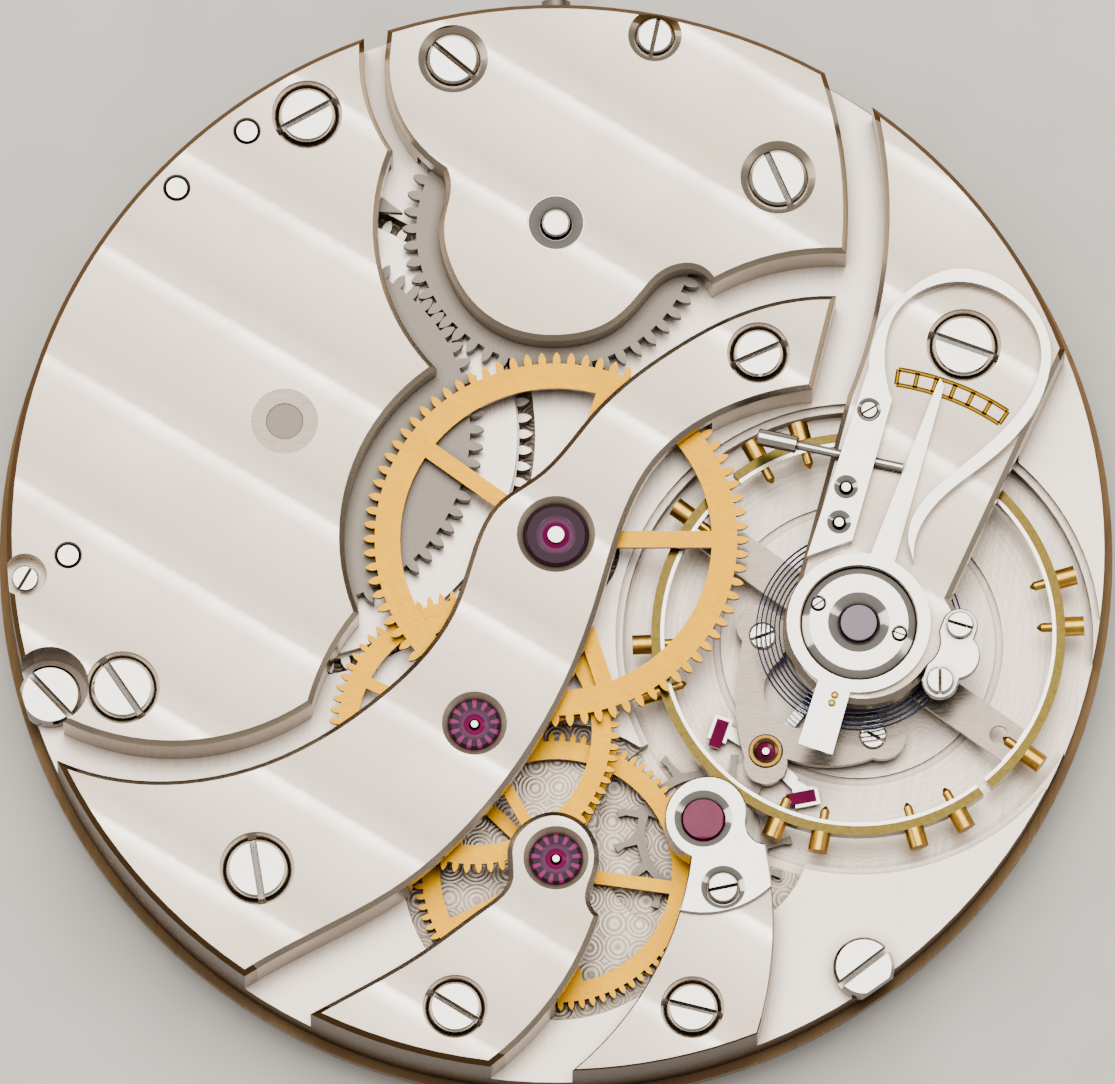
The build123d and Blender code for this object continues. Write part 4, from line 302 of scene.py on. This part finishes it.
nickel, tree, shader = finish("nickel-plated brass, turned", Metallic=1.0)
rings = sums(tree, "MULTIPLY", apart(tree, BARREL), BARREL_RINGS)
rings = add(tree, "ShaderNodeCombineXYZ", {"X": rings})
rings = add(tree, "ShaderNodeTexNoise", {"Vector": rings.outputs[0], "Scale": 1.0,
            "Detail": 5.0}).outputs["Fac"]
tint = blended(tree, rings, "#b9aea4", "#f1e7de")
# Painted shade: upright faces take a dark brown-grey, and slots and corners darker still.
colour = blended(tree, upward(tree, 0.1, 0.6), "#6b5d4d", tint)
colour = blended(tree, painted_crevice_shade(tree, 0.35, 0.2, 0.9), "#4a4036", colour)
tree.links.new(colour, shader.inputs["Base Color"])
rough = add(tree, "ShaderNodeMapRange", {"Value": rings, "To Min": 0.22, "To Max": 0.42})
tree.links.new(rough.outputs[0], shader.inputs["Roughness"])
bump = add(tree, "ShaderNodeBump", {"Height": rings, "Distance": 0.01 * MM, "Strength": 0.2})
tree.links.new(bump.outputs[0], shader.inputs["Normal"])
dress(nickel, "barrel_drum", "barrel_cover")

# TRAIN WHEELS AND MOTION WHEELS
# Brass wheels, cut, stoned and gilt with a matt gilding, riveted on their pinions. The flats are
# satin with a fine straight grain; the flanks of spokes and teeth are painted deeper and browner
# as shade, and their slots and corners darker still.
gilt, tree, shader = finish("brass, matt gilt", Metallic=1.0)
grain = add(tree, "ShaderNodeTexNoise", {"Vector": millimetres(tree, (3, 22, 4), 0.5),
            "Scale": 1.0, "Detail": 4.0}).outputs["Fac"]
cloud = add(tree, "ShaderNodeTexNoise", {"Vector": millimetres(tree, (0.5, 0.5, 0.5)),
            "Scale": 1.0, "Detail": 2.0}).outputs["Fac"]
tint = blended(tree, cloud, "#c48b00", "#dba200")
tint = blended(tree, sums(tree, "MULTIPLY", grain, 0.35), tint, "#9a6a00")
# Painted shade on the flanks, then in slots and corners.
colour = blended(tree, upward(tree, 0.1, 0.6), "#6d4700", tint)
colour = blended(tree, painted_crevice_shade(tree, 0.3, 0.1, 0.95), "#5e3d0c", colour)
tree.links.new(colour, shader.inputs["Base Color"])
rough = add(tree, "ShaderNodeMapRange", {"Value": grain, "To Min": 0.3, "To Max": 0.48})
tree.links.new(rough.outputs[0], shader.inputs["Roughness"])
bump = add(tree, "ShaderNodeBump", {"Height": grain, "Distance": 0.01 * MM, "Strength": 0.2})
tree.links.new(bump.outputs[0], shader.inputs["Normal"])
dress(gilt, "centre_wheel", "third_wheel", "fourth_wheel", "minute_wheel", "hour_wheel")

# PINIONS, ARBORS, SCREWS AND THE STEEL OF THE REGULATOR
# Hardened steel, polished flat on tin with diamond paste. It mirrors what is around it; its turn
# from white to black with its slope is painted into the colour as reflection and shade, and the
# slots of the screws are painted dark as shade.
bright_steel, tree, shader = finish("hardened steel, black polished", Metallic=1.0)
hairline = add(tree, "ShaderNodeTexNoise", {"Vector": millimetres(tree, (2, 30, 2), 0.7),
               "Scale": 1.0, "Detail": 2.0}).outputs["Fac"]
tint = blended(tree, hairline, "#d2cec9", "#ece8e2")
# Painted reflection and shade: sloped faces go from near white to near black.
colour = blended(tree, upward(tree, 0.1, 0.5), "#352f2a", tint)
# Painted shade: slots and corners darken to near black.
colour = blended(tree, painted_crevice_shade(tree, 0.4, 0.5, 0.9), "#2a221a", colour)
tree.links.new(colour, shader.inputs["Base Color"])
rough = add(tree, "ShaderNodeMapRange", {"Value": hairline, "To Min": 0.05, "To Max": 0.12})
tree.links.new(rough.outputs[0], shader.inputs["Roughness"])
dress(bright_steel, "crown_stud", "centre_pinion", "cannon_pinion", "third_pinion",
      "fourth_pinion", "escape_pinion", "pallet_staff", "pallet_fork", "balance_staff",
      "balance_roller", "escape_cap", "balance_cap", "index", "swan_neck",
      "regulator_screw", "stud_carrier", "plate_screws", "small_screws", "posts_and_pins")

# MAINSPRING
# Steel strip, hardened and tempered to a dark blue on its wide faces, coiled inside the barrel.
blued, tree, shader = finish("spring steel, blued", Metallic=1.0, Roughness=0.28)
heat = add(tree, "ShaderNodeTexNoise", {"Vector": millimetres(tree, (0.8, 0.8, 0.8)),
           "Scale": 1.0, "Detail": 2.0}).outputs["Fac"]
tree.links.new(blended(tree, heat, "#141a2c", "#3c4a74"), shader.inputs["Base Color"])
dress(blued, "mainspring")

# BALANCE SPRING
# A flat spiral of thin blued strip, eighteen close turns from the brass collet on the balance
# staff out to the stud; the strip stands on edge, so from above it looks like fine dark lines.
SPRING_START, SPRING_END = 0.78, 3.6
SPRING_TURNS = 18.0
SPRING_STRIP = (0.045, 0.16)
SPRING_LEVEL = 2.535
STUD_WAY = math.radians(-36.8)


def named_inputs(tree, *inputs):
    """Gives a tree its geometry, its named inputs and its outcome."""
    tree.interface.new_socket("Geometry", in_out="INPUT", socket_type="NodeSocketGeometry")
    for name, kind in inputs:
        tree.interface.new_socket(name, in_out="INPUT", socket_type=kind)
    tree.interface.new_socket("Geometry", in_out="OUTPUT", socket_type="NodeSocketGeometry")
    return add(tree, "NodeGroupInput").outputs


def complete(tree, shape, material):
    """Ends a tree: real meshes instead of copies, with their finish."""
    real = add(tree, "GeometryNodeRealizeInstances", {"Geometry": shape})
    dressed = add(tree, "GeometryNodeSetMaterial", {"Geometry": real.outputs[0],
                  "Material": material})
    add(tree, "NodeGroupOutput", {0: dressed.outputs[0]})


def made(name, tree, start, values):
    """Runs a tree on a start mesh and keeps the outcome as a plain mesh."""
    holder = bpy.data.objects.new(name + ".start", start)
    bpy.context.collection.objects.link(holder)
    modifier = holder.modifiers.new(name, "NODES")
    modifier.node_group = tree
    for socket in tree.interface.items_tree:
        if socket.in_out == "INPUT" and socket.name in values:
            modifier[socket.identifier] = values[socket.name]
    holder.update_tag()
    bpy.context.view_layer.update()
    graph = bpy.context.evaluated_depsgraph_get()
    mesh = bpy.data.meshes.new_from_object(holder.evaluated_get(graph), depsgraph=graph,
                                           preserve_all_data_layers=True)
    holder.modifiers.remove(modifier)
    bpy.data.objects.remove(holder)
    piece = bpy.data.objects.new(name, mesh)
    bpy.context.collection.objects.link(piece)
    return piece


hair_blue, tree, shader = finish("spring strip, blued and polished", Metallic=1.0,
                                 Roughness=0.2)
heat = add(tree, "ShaderNodeTexNoise", {"Vector": millimetres(tree, (0.7, 0.7, 0.7)),
           "Scale": 1.0, "Detail": 2.0}).outputs["Fac"]
tree.links.new(blended(tree, heat, "#0d1322", "#2b3a66"), shader.inputs["Base Color"])

tree = bpy.data.node_groups.new("flat spiral of strip", "GeometryNodeTree")
given = named_inputs(tree, ("Turns", "NodeSocketFloat"), ("Start radius", "NodeSocketFloat"),
                     ("End radius", "NodeSocketFloat"), ("Strip width", "NodeSocketFloat"),
                     ("Strip height", "NodeSocketFloat"), ("Place", "NodeSocketVector"),
                     ("Turn", "NodeSocketVector"), ("Finish", "NodeSocketMaterial"))
coil = add(tree, "GeometryNodeCurveSpiral", {"Resolution": 72, "Rotations": given["Turns"],
           "Start Radius": given["Start radius"], "End Radius": given["End radius"],
           "Height": 0.0})
section = add(tree, "GeometryNodeCurvePrimitiveQuadrilateral", {
    "Width": given["Strip width"], "Height": given["Strip height"]})
strip = add(tree, "GeometryNodeCurveToMesh", {"Curve": coil.outputs[0],
            "Profile Curve": section.outputs[0], "Fill Caps": True})
moved = add(tree, "GeometryNodeTransform", {"Geometry": strip.outputs[0],
            "Translation": given["Place"], "Rotation": given["Turn"]})
complete(tree, moved.outputs[0], given["Finish"])
spring = made("balance_spring", tree, bpy.data.meshes.new("spring start"), {
    "Turns": SPRING_TURNS, "Start radius": SPRING_START * MM, "End radius": SPRING_END * MM,
    "Strip width": SPRING_STRIP[0] * MM, "Strip height": SPRING_STRIP[1] * MM,
    "Place": [BALANCE[0] * MM, BALANCE[1] * MM, SPRING_LEVEL * MM],
    "Turn": [0.0, 0.0, STUD_WAY], "Finish": hair_blue})
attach(spring, "balance")
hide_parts("hairspring")

# BALANCE
# A steel arm and inner ring with brass fused round them, turned, cut through twice and
# polished, so warmth bends the free ends in. Gold screws round the rim set its rate. The pallet
# bridge and the bush of the barrel arbor are ground like the arm.
RIM_STEEL, RIM_JOINT = 6.6, 6.9

rim_brass, tree, shader = finish("brass, turned and polished", Metallic=1.0, Roughness=0.22)
turned = add(tree, "ShaderNodeTexNoise", {"Vector": millimetres(tree, (6, 6, 20)),
             "Scale": 1.0, "Detail": 3.0}).outputs["Fac"]
tree.links.new(blended(tree, turned, "#453a18", "#6f602e"), shader.inputs["Base Color"])
dress(rim_brass, "balance_rim", "hairspring_collet")

rim_steel, tree, shader = finish("steel, fine ground", Metallic=1.0)
grain = add(tree, "ShaderNodeTexNoise", {"Vector": millimetres(tree, (3, 20, 3)),
            "Scale": 1.0, "Detail": 3.0}).outputs["Fac"]
arm = blended(tree, grain, "#71675d", "#a4998d")
edge = sums(tree, "GREATER_THAN", apart(tree, BALANCE), RIM_STEEL)
edge = sums(tree, "MULTIPLY", edge, sums(tree, "LESS_THAN", apart(tree, BALANCE), RIM_JOINT))
tree.links.new(blended(tree, edge, arm, "#f2eae1"), shader.inputs["Base Color"])
rough = add(tree, "ShaderNodeMapRange", {"Value": grain, "To Min": 0.18, "To Max": 0.34})
tree.links.new(rough.outputs[0], shader.inputs["Roughness"])
dress(rim_steel, "balance_wheel", "pallet_bridge", "barrel_bush")

gold, tree, shader = finish("gold, turned", Metallic=1.0, Roughness=0.3)
turned = add(tree, "ShaderNodeTexNoise", {"Vector": millimetres(tree, (5, 5, 5)),
             "Scale": 1.0, "Detail": 2.0}).outputs["Fac"]
tree.links.new(blended(tree, turned, "#c08a1c", "#f3c860"), shader.inputs["Base Color"])
dress(gold, "balance_screws")

# HOLE JEWELS OF THE TRAIN
# Synthetic ruby rings, turned and polished to a mirror, pressed into polished sinks. What one
# sees through the clear stone is painted onto it as painted reflections: its hole and back edge
# as a paler ring and, but for the centre's, lit spokes of magenta.
HOLE_JEWELS = ((CENTRE, 3.48, 1.09), (THIRD, 3.48, 0.865), (FOURTH, 3.48, 0.865),
               (CENTRE, 0.73, 0.74), (THIRD, 0.65, 0.74), (FOURTH, 0.65, 0.74))
JEWEL_PROFILE = ((0.17, -0.32), (0.17, -0.2), (0.24, -0.17), (0.36, -0.12), (0.5, -0.055),
                 (0.6, -0.02), (0.68, -0.003), (0.74, 0.0), (0.9, 0.0), (0.96, -0.015),
                 (0.99, -0.05), (1.0, -0.1), (1.0, -0.3), (0.98, -0.32))
SPOKES = 13.0
CLEAR_REACH = 1.5


def turned_ring(name, profile, sides=72):
    """A closed ring turned from the points of its section, which remembers its own place."""
    shape = bmesh.new()
    count = len(profile)
    corners = [[shape.verts.new((r * math.cos(math.tau * s / sides),
                                 r * math.sin(math.tau * s / sides), z)) for r, z in profile]
               for s in range(sides)]
    for s in range(sides):
        here, there = corners[s], corners[(s + 1) % sides]
        for k in range(count):
            after = (k + 1) % count
            shape.faces.new((here[k], here[after], there[after], there[k]))
    bmesh.ops.remove_doubles(shape, verts=shape.verts, dist=1e-6)
    bmesh.ops.recalc_face_normals(shape, faces=shape.faces)
    for face in shape.faces:
        face.smooth = True
    mesh = bpy.data.meshes.new(name)
    shape.to_mesh(mesh)
    shape.free()
    own = mesh.attributes.new("own_place", "FLOAT_VECTOR", "POINT")
    for number, corner in enumerate(mesh.vertices):
        own.data[number].vector = corner.co
    return mesh


def set_out(name, mesh, places, material):
    """One mesh of copies of a small piece, each at its place with its size and turn."""
    spots = bpy.data.meshes.new(name + " places")
    spots.from_pydata([[v * MM for v in place] for place, size, turn in places], [], [])
    sizes = spots.attributes.new("size", "FLOAT_VECTOR", "POINT")
    turns = spots.attributes.new("turn", "FLOAT_VECTOR", "POINT")
    for number, (place, size, turn) in enumerate(places):
        sizes.data[number].vector = [size * MM] * 3
        turns.data[number].vector = turn
    pattern = bpy.data.objects.new(name + " pattern", mesh)
    bpy.context.collection.objects.link(pattern)
    tree = bpy.data.node_groups.new(name + " set out", "GeometryNodeTree")
    given = named_inputs(tree, ("Piece", "NodeSocketObject"), ("Share of size", "NodeSocketFloat"),
                         ("Finish", "NodeSocketMaterial"))
    one = add(tree, "GeometryNodeObjectInfo", {"Object": given["Piece"]})
    size = add(tree, "GeometryNodeInputNamedAttribute", {"Name": "size"},
               data_type="FLOAT_VECTOR")
    scaled = add(tree, "ShaderNodeVectorMath", {0: size.outputs[0],
                 "Scale": given["Share of size"]}, operation="SCALE")
    turn = add(tree, "GeometryNodeInputNamedAttribute", {"Name": "turn"},
               data_type="FLOAT_VECTOR")
    way = add(tree, "FunctionNodeEulerToRotation", {0: turn.outputs[0]})
    copies = add(tree, "GeometryNodeInstanceOnPoints", {"Points": given["Geometry"],
                 "Instance": one.outputs["Geometry"], "Rotation": way.outputs[0],
                 "Scale": scaled.outputs[0]})
    complete(tree, copies.outputs[0], given["Finish"])
    piece = made(name, tree, spots, {"Piece": pattern, "Share of size": 1.0,
                                     "Finish": material})
    bpy.data.objects.remove(pattern)
    return piece


ruby, tree, shader = finish("synthetic ruby, polished", Roughness=0.04, IOR=1.76,
                            Specular_IOR_Level=0.08)
own = add(tree, "ShaderNodeAttribute", attribute_name="own_place")
place = add(tree, "ShaderNodeSeparateXYZ", {0: own.outputs["Vector"]})
radius = add(tree, "ShaderNodeVectorMath", {0: own.outputs["Vector"],
             1: (1, 1, 0)}, operation="MULTIPLY")
radius = add(tree, "ShaderNodeVectorMath", {0: radius.outputs[0]}, operation="LENGTH")
angle = sums(tree, "ARCTAN2", place.outputs["Y"], place.outputs["X"])
spokes = sums(tree, "SINE", sums(tree, "MULTIPLY", angle, SPOKES))
spokes = add(tree, "ShaderNodeMapRange", {"Value": spokes, "From Min": 0.1, "From Max": 0.5})
# Painted reflections: rings by radius for what shows through the stone, and lit spokes of magenta.
zone = add(tree, "ShaderNodeValToRGB", {0: radius.outputs["Value"]})
ramp = zone.color_ramp.elements
ramp[0].color = srgb("#1c0216")
ramp[1].position, ramp[1].color = 1.0, srgb("#2a0622")
for position, code in ((0.2, "#1c0216"), (0.26, "#8e1258"), (0.4, "#6a0c48"),
                       (0.46, "#6d4a66"), (0.6, "#5c3854"), (0.64, "#2a0622")):
    ramp.new(position).color = srgb(code)
outer = add(tree, "ShaderNodeMapRange", {"Value": radius.outputs["Value"], "From Min": 0.62,
            "From Max": 0.66})
lit = sums(tree, "MULTIPLY", outer.outputs[0], spokes.outputs[0])
lit = sums(tree, "MULTIPLY", lit, sums(tree, "GREATER_THAN", apart(tree, CENTRE),
                                       CLEAR_REACH))
tree.links.new(blended(tree, lit, zone.outputs["Color"], "#8c1f6c"),
               shader.inputs["Base Color"])
jewels = set_out("train_hole_jewels", turned_ring("hole jewel", JEWEL_PROFILE),
                 [((*axis, top), size, (0, 0, 0)) for axis, top, size in HOLE_JEWELS], ruby)
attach(jewels, "movement")
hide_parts("train_jewels")

# JEWELS OF THE ESCAPEMENT
# Ruby again: plain rings for the pivots, domed caps over their ends, and the two stones of the
# pallets, which are cut flat and held in slots of the fork.
ESCAPE = (5.050, -10.040)
CAP_REACH = 1.2

stone, tree, shader = finish("synthetic ruby, polished plain", Roughness=0.05, IOR=1.76,
                             Specular_IOR_Level=0.14)
cloud = add(tree, "ShaderNodeTexNoise", {"Vector": millimetres(tree, (2.2, 2.2, 2.2)),
            "Scale": 1.0, "Detail": 2.0}).outputs["Fac"]
by_balance = sums(tree, "LESS_THAN", apart(tree, BALANCE), CAP_REACH)
colour = blended(tree, cloud, "#640d3d", "#901a56")
colour = blended(tree, by_balance, colour, "#8d8492")
tree.links.new(colour, shader.inputs["Base Color"])
dome = sums(tree, "MINIMUM", apart(tree, BALANCE), apart(tree, ESCAPE))
dome = sums(tree, "MULTIPLY", sums(tree, "MULTIPLY", dome, dome), -1.0)
bump = add(tree, "ShaderNodeBump", {"Height": dome, "Distance": 0.3 * MM, "Strength": 0.6})
tree.links.new(bump.outputs[0], shader.inputs["Normal"])
dress(stone, "escapement_jewels", "roller_jewel", "pallet_stones")

# SETTING OF THE PALLET JEWEL
# A turned bronze ring pressed into the pallet bridge, which holds the jewel and stands a little
# proud of it; its rim is rounded and its inside is bevelled down to the stone.
PALLET = (7.204, -7.181)
SETTING_PROFILE = ((0.52, 0.005), (0.56, 0.03), (0.66, 0.06), (0.72, 0.11), (0.92, 0.11),
                   (0.98, 0.08), (1.0, 0.04), (1.0, 0.005))
SETTING_RADIUS = 0.6
PALLET_BRIDGE_TOP = 1.56

bronze, tree, shader = finish("bronze, turned", Metallic=1.0, Roughness=0.25)
turned = add(tree, "ShaderNodeTexNoise", {"Vector": millimetres(tree, (8, 8, 8)),
             "Scale": 1.0, "Detail": 2.0}).outputs["Fac"]
tree.links.new(blended(tree, turned, "#6b4c22", "#a17c46"), shader.inputs["Base Color"])
setting = set_out("pallet_jewel_setting", turned_ring("setting", SETTING_PROFILE, 48),
                  [((*PALLET, PALLET_BRIDGE_TOP), SETTING_RADIUS, (0, 0, 0))], bronze)
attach(setting, "movement")

# SCALE OF THE REGULATOR
# A row of plain boxes along an arc on the balance cock, under the tip of the index. It is cut
# into the plate and filled with a dull gilding.
SCALE_RADII = (8.57, 9.12)
SCALE_START, SCALE_SWEEP = math.radians(55.6), math.radians(25.6)
SCALE_BOXES = 6
SCALE_LINE = (0.16, 0.012)
COCK_TOP = 3.7

dull_gold, tree, shader = finish("gilding in a cut line, dull", Metallic=1.0)
grain = add(tree, "ShaderNodeTexNoise", {"Vector": millimetres(tree, (12, 12, 12)),
            "Scale": 1.0, "Detail": 3.0}).outputs["Fac"]
tree.links.new(blended(tree, grain, "#7d5a08", "#c09222"), shader.inputs["Base Color"])
rough = add(tree, "ShaderNodeMapRange", {"Value": grain, "To Min": 0.35, "To Max": 0.6})
tree.links.new(rough.outputs[0], shader.inputs["Roughness"])

tree = bpy.data.node_groups.new("boxes along an arc", "GeometryNodeTree")
given = named_inputs(tree, ("Boxes", "NodeSocketInt"), ("Inner radius", "NodeSocketFloat"),
                     ("Outer radius", "NodeSocketFloat"), ("Start", "NodeSocketFloat"),
                     ("Sweep", "NodeSocketFloat"), ("Line width", "NodeSocketFloat"),
                     ("Line height", "NodeSocketFloat"), ("Place", "NodeSocketVector"),
                     ("Finish", "NodeSocketMaterial"))
arcs = [add(tree, "GeometryNodeCurveArc", {"Resolution": 60, "Radius": given[edge],
            "Start Angle": given["Start"], "Sweep Angle": given["Sweep"]}, mode="RADIUS")
        for edge in ("Inner radius", "Outer radius")]
low = add(tree, "ShaderNodeCombineXYZ", {"X": given["Inner radius"]})
high = add(tree, "ShaderNodeCombineXYZ", {"X": given["Outer radius"]})
divider = add(tree, "GeometryNodeCurvePrimitiveLine", {"Start": low.outputs[0],
              "End": high.outputs[0]})
ends = add(tree, "ShaderNodeMath", {0: given["Boxes"], 1: 1.0}, operation="ADD")
marks = add(tree, "GeometryNodePoints", {"Count": ends.outputs[0]})
share = add(tree, "ShaderNodeMath", {0: add(tree, "GeometryNodeInputIndex").outputs[0],
            1: given["Boxes"]}, operation="DIVIDE")
angle = add(tree, "ShaderNodeMath", {0: share.outputs[0], 1: given["Sweep"],
            2: given["Start"]}, operation="MULTIPLY_ADD")
turn = add(tree, "ShaderNodeCombineXYZ", {"Z": angle.outputs[0]})
way = add(tree, "FunctionNodeEulerToRotation", {0: turn.outputs[0]})
dividers = add(tree, "GeometryNodeInstanceOnPoints", {"Points": marks.outputs[0],
               "Instance": divider.outputs[0], "Rotation": way.outputs[0]})
lines = add(tree, "GeometryNodeJoinGeometry")
real = add(tree, "GeometryNodeRealizeInstances", {"Geometry": dividers.outputs[0]})
for source in (real, *arcs):
    tree.links.new(source.outputs[0], lines.inputs[0])
section = add(tree, "GeometryNodeCurvePrimitiveQuadrilateral", {
    "Width": given["Line width"], "Height": given["Line height"]})
strip = add(tree, "GeometryNodeCurveToMesh", {"Curve": lines.outputs[0],
            "Profile Curve": section.outputs[0], "Fill Caps": True})
moved = add(tree, "GeometryNodeTransform", {"Geometry": strip.outputs[0],
            "Translation": given["Place"]})
complete(tree, moved.outputs[0], given["Finish"])
scale = made("regulator_scale", tree, bpy.data.meshes.new("scale start"), {
    "Boxes": SCALE_BOXES, "Inner radius": SCALE_RADII[0] * MM,
    "Outer radius": SCALE_RADII[1] * MM, "Start": SCALE_START, "Sweep": SCALE_SWEEP,
    "Line width": SCALE_LINE[0] * MM, "Line height": SCALE_LINE[1] * MM,
    "Place": [BALANCE[0] * MM, BALANCE[1] * MM, COCK_TOP * MM], "Finish": dull_gold})
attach(scale, "movement")

# CURB PINS
# Two small gold pins driven through the tail of the index; their ends are filed into low domes.
PIN_HEAD = 0.13
PIN_PLACES = ((9.559, -5.77), (9.456, -6.05))
INDEX_TOP = 3.9
DOME_PROFILE = ((0.0, -0.3), (1.0, -0.3), (1.0, 0.0), (0.94, 0.2), (0.78, 0.36), (0.5, 0.47),
                (0.25, 0.51), (0.0, 0.52))

pins = set_out("curb_pin_heads", turned_ring("pin head", DOME_PROFILE, 24),
               [((*axis, INDEX_TOP), PIN_HEAD, (0, 0, 0)) for axis in PIN_PLACES], gold)
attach(pins, "index")

# FLOOR, LIGHT AND CAMERA
# A pale table, one large soft light over it and smaller ones at its sides, and a camera far
# above that looks down at 76 degrees with a long lens, as the photograph does.
FLOOR_SIZE = 0.6
CAMERA_DISTANCE = 1.0
CAMERA_TILT = math.radians(76)
VIEW_WIDTH = 38.43 * MM
PICTURE_WIDTH, PICTURE_HEIGHT = 1115, 1084
CENTRE_PIXEL = (556.0, 559.3)
SENSOR = 36.0
LAMP_COLOUR = (1.0, 0.95, 0.88)
ROOM_LIGHT = 0.42

paper, tree, shader = finish("matt paper", Roughness=0.8)
fibre = add(tree, "ShaderNodeTexNoise", {"Vector": millimetres(tree, (0.4, 0.4, 0.4)),
            "Scale": 1.0, "Detail": 4.0}).outputs["Fac"]
tree.links.new(blended(tree, fibre, "#d9d7d3", "#e6e4e0"), shader.inputs["Base Color"])
half = FLOOR_SIZE / 2
floor_level = cad_box[0][2]
mesh = bpy.data.meshes.new("table")
mesh.from_pydata([(x, y, floor_level) for x, y in
                  ((-half, -half), (half, -half), (half, half), (-half, half))], [],
                 [(0, 1, 2, 3)])
mesh.materials.append(paper)
table = bpy.data.objects.new("table", mesh)
bpy.context.collection.objects.link(table)

world = bpy.data.worlds.new("studio")
world.use_nodes = True
world.node_tree.nodes["Background"].inputs["Color"].default_value = srgb("#f4ece2")
world.node_tree.nodes["Background"].inputs["Strength"].default_value = ROOM_LIGHT
bpy.context.scene.world = world

for name, place, size, power in (
        ("overhead", (0.0, 0.12, 0.5), 0.5, 3.8),
        ("left", (-0.35, 0.05, 0.22), 0.2, 0.35),
        ("right", (0.32, -0.1, 0.2), 0.16, 0.2)):
    lamp = bpy.data.lights.new(name, "AREA")
    lamp.size = size
    lamp.energy = power
    lamp.color = LAMP_COLOUR
    light = bpy.data.objects.new(name, lamp)
    light.location = place
    light.rotation_euler = (-Vector(place)).to_track_quat("-Z", "Y").to_euler()
    bpy.context.collection.objects.link(light)

lens = bpy.data.cameras.new("camera")
lens.sensor_width = SENSOR
lens.lens = SENSOR * CAMERA_DISTANCE / VIEW_WIDTH
lens.clip_end = 10
eye = bpy.data.objects.new("camera", lens)
eye.location = (0, -CAMERA_DISTANCE * math.cos(CAMERA_TILT),
                CAMERA_DISTANCE * math.sin(CAMERA_TILT))
eye.rotation_euler = (math.pi / 2 - CAMERA_TILT, 0, 0)
lens.shift_x = (PICTURE_WIDTH / 2 - CENTRE_PIXEL[0]) / PICTURE_WIDTH
lens.shift_y = (CENTRE_PIXEL[1] - PICTURE_HEIGHT / 2) / PICTURE_WIDTH
bpy.context.collection.objects.link(eye)
bpy.context.scene.camera = eye
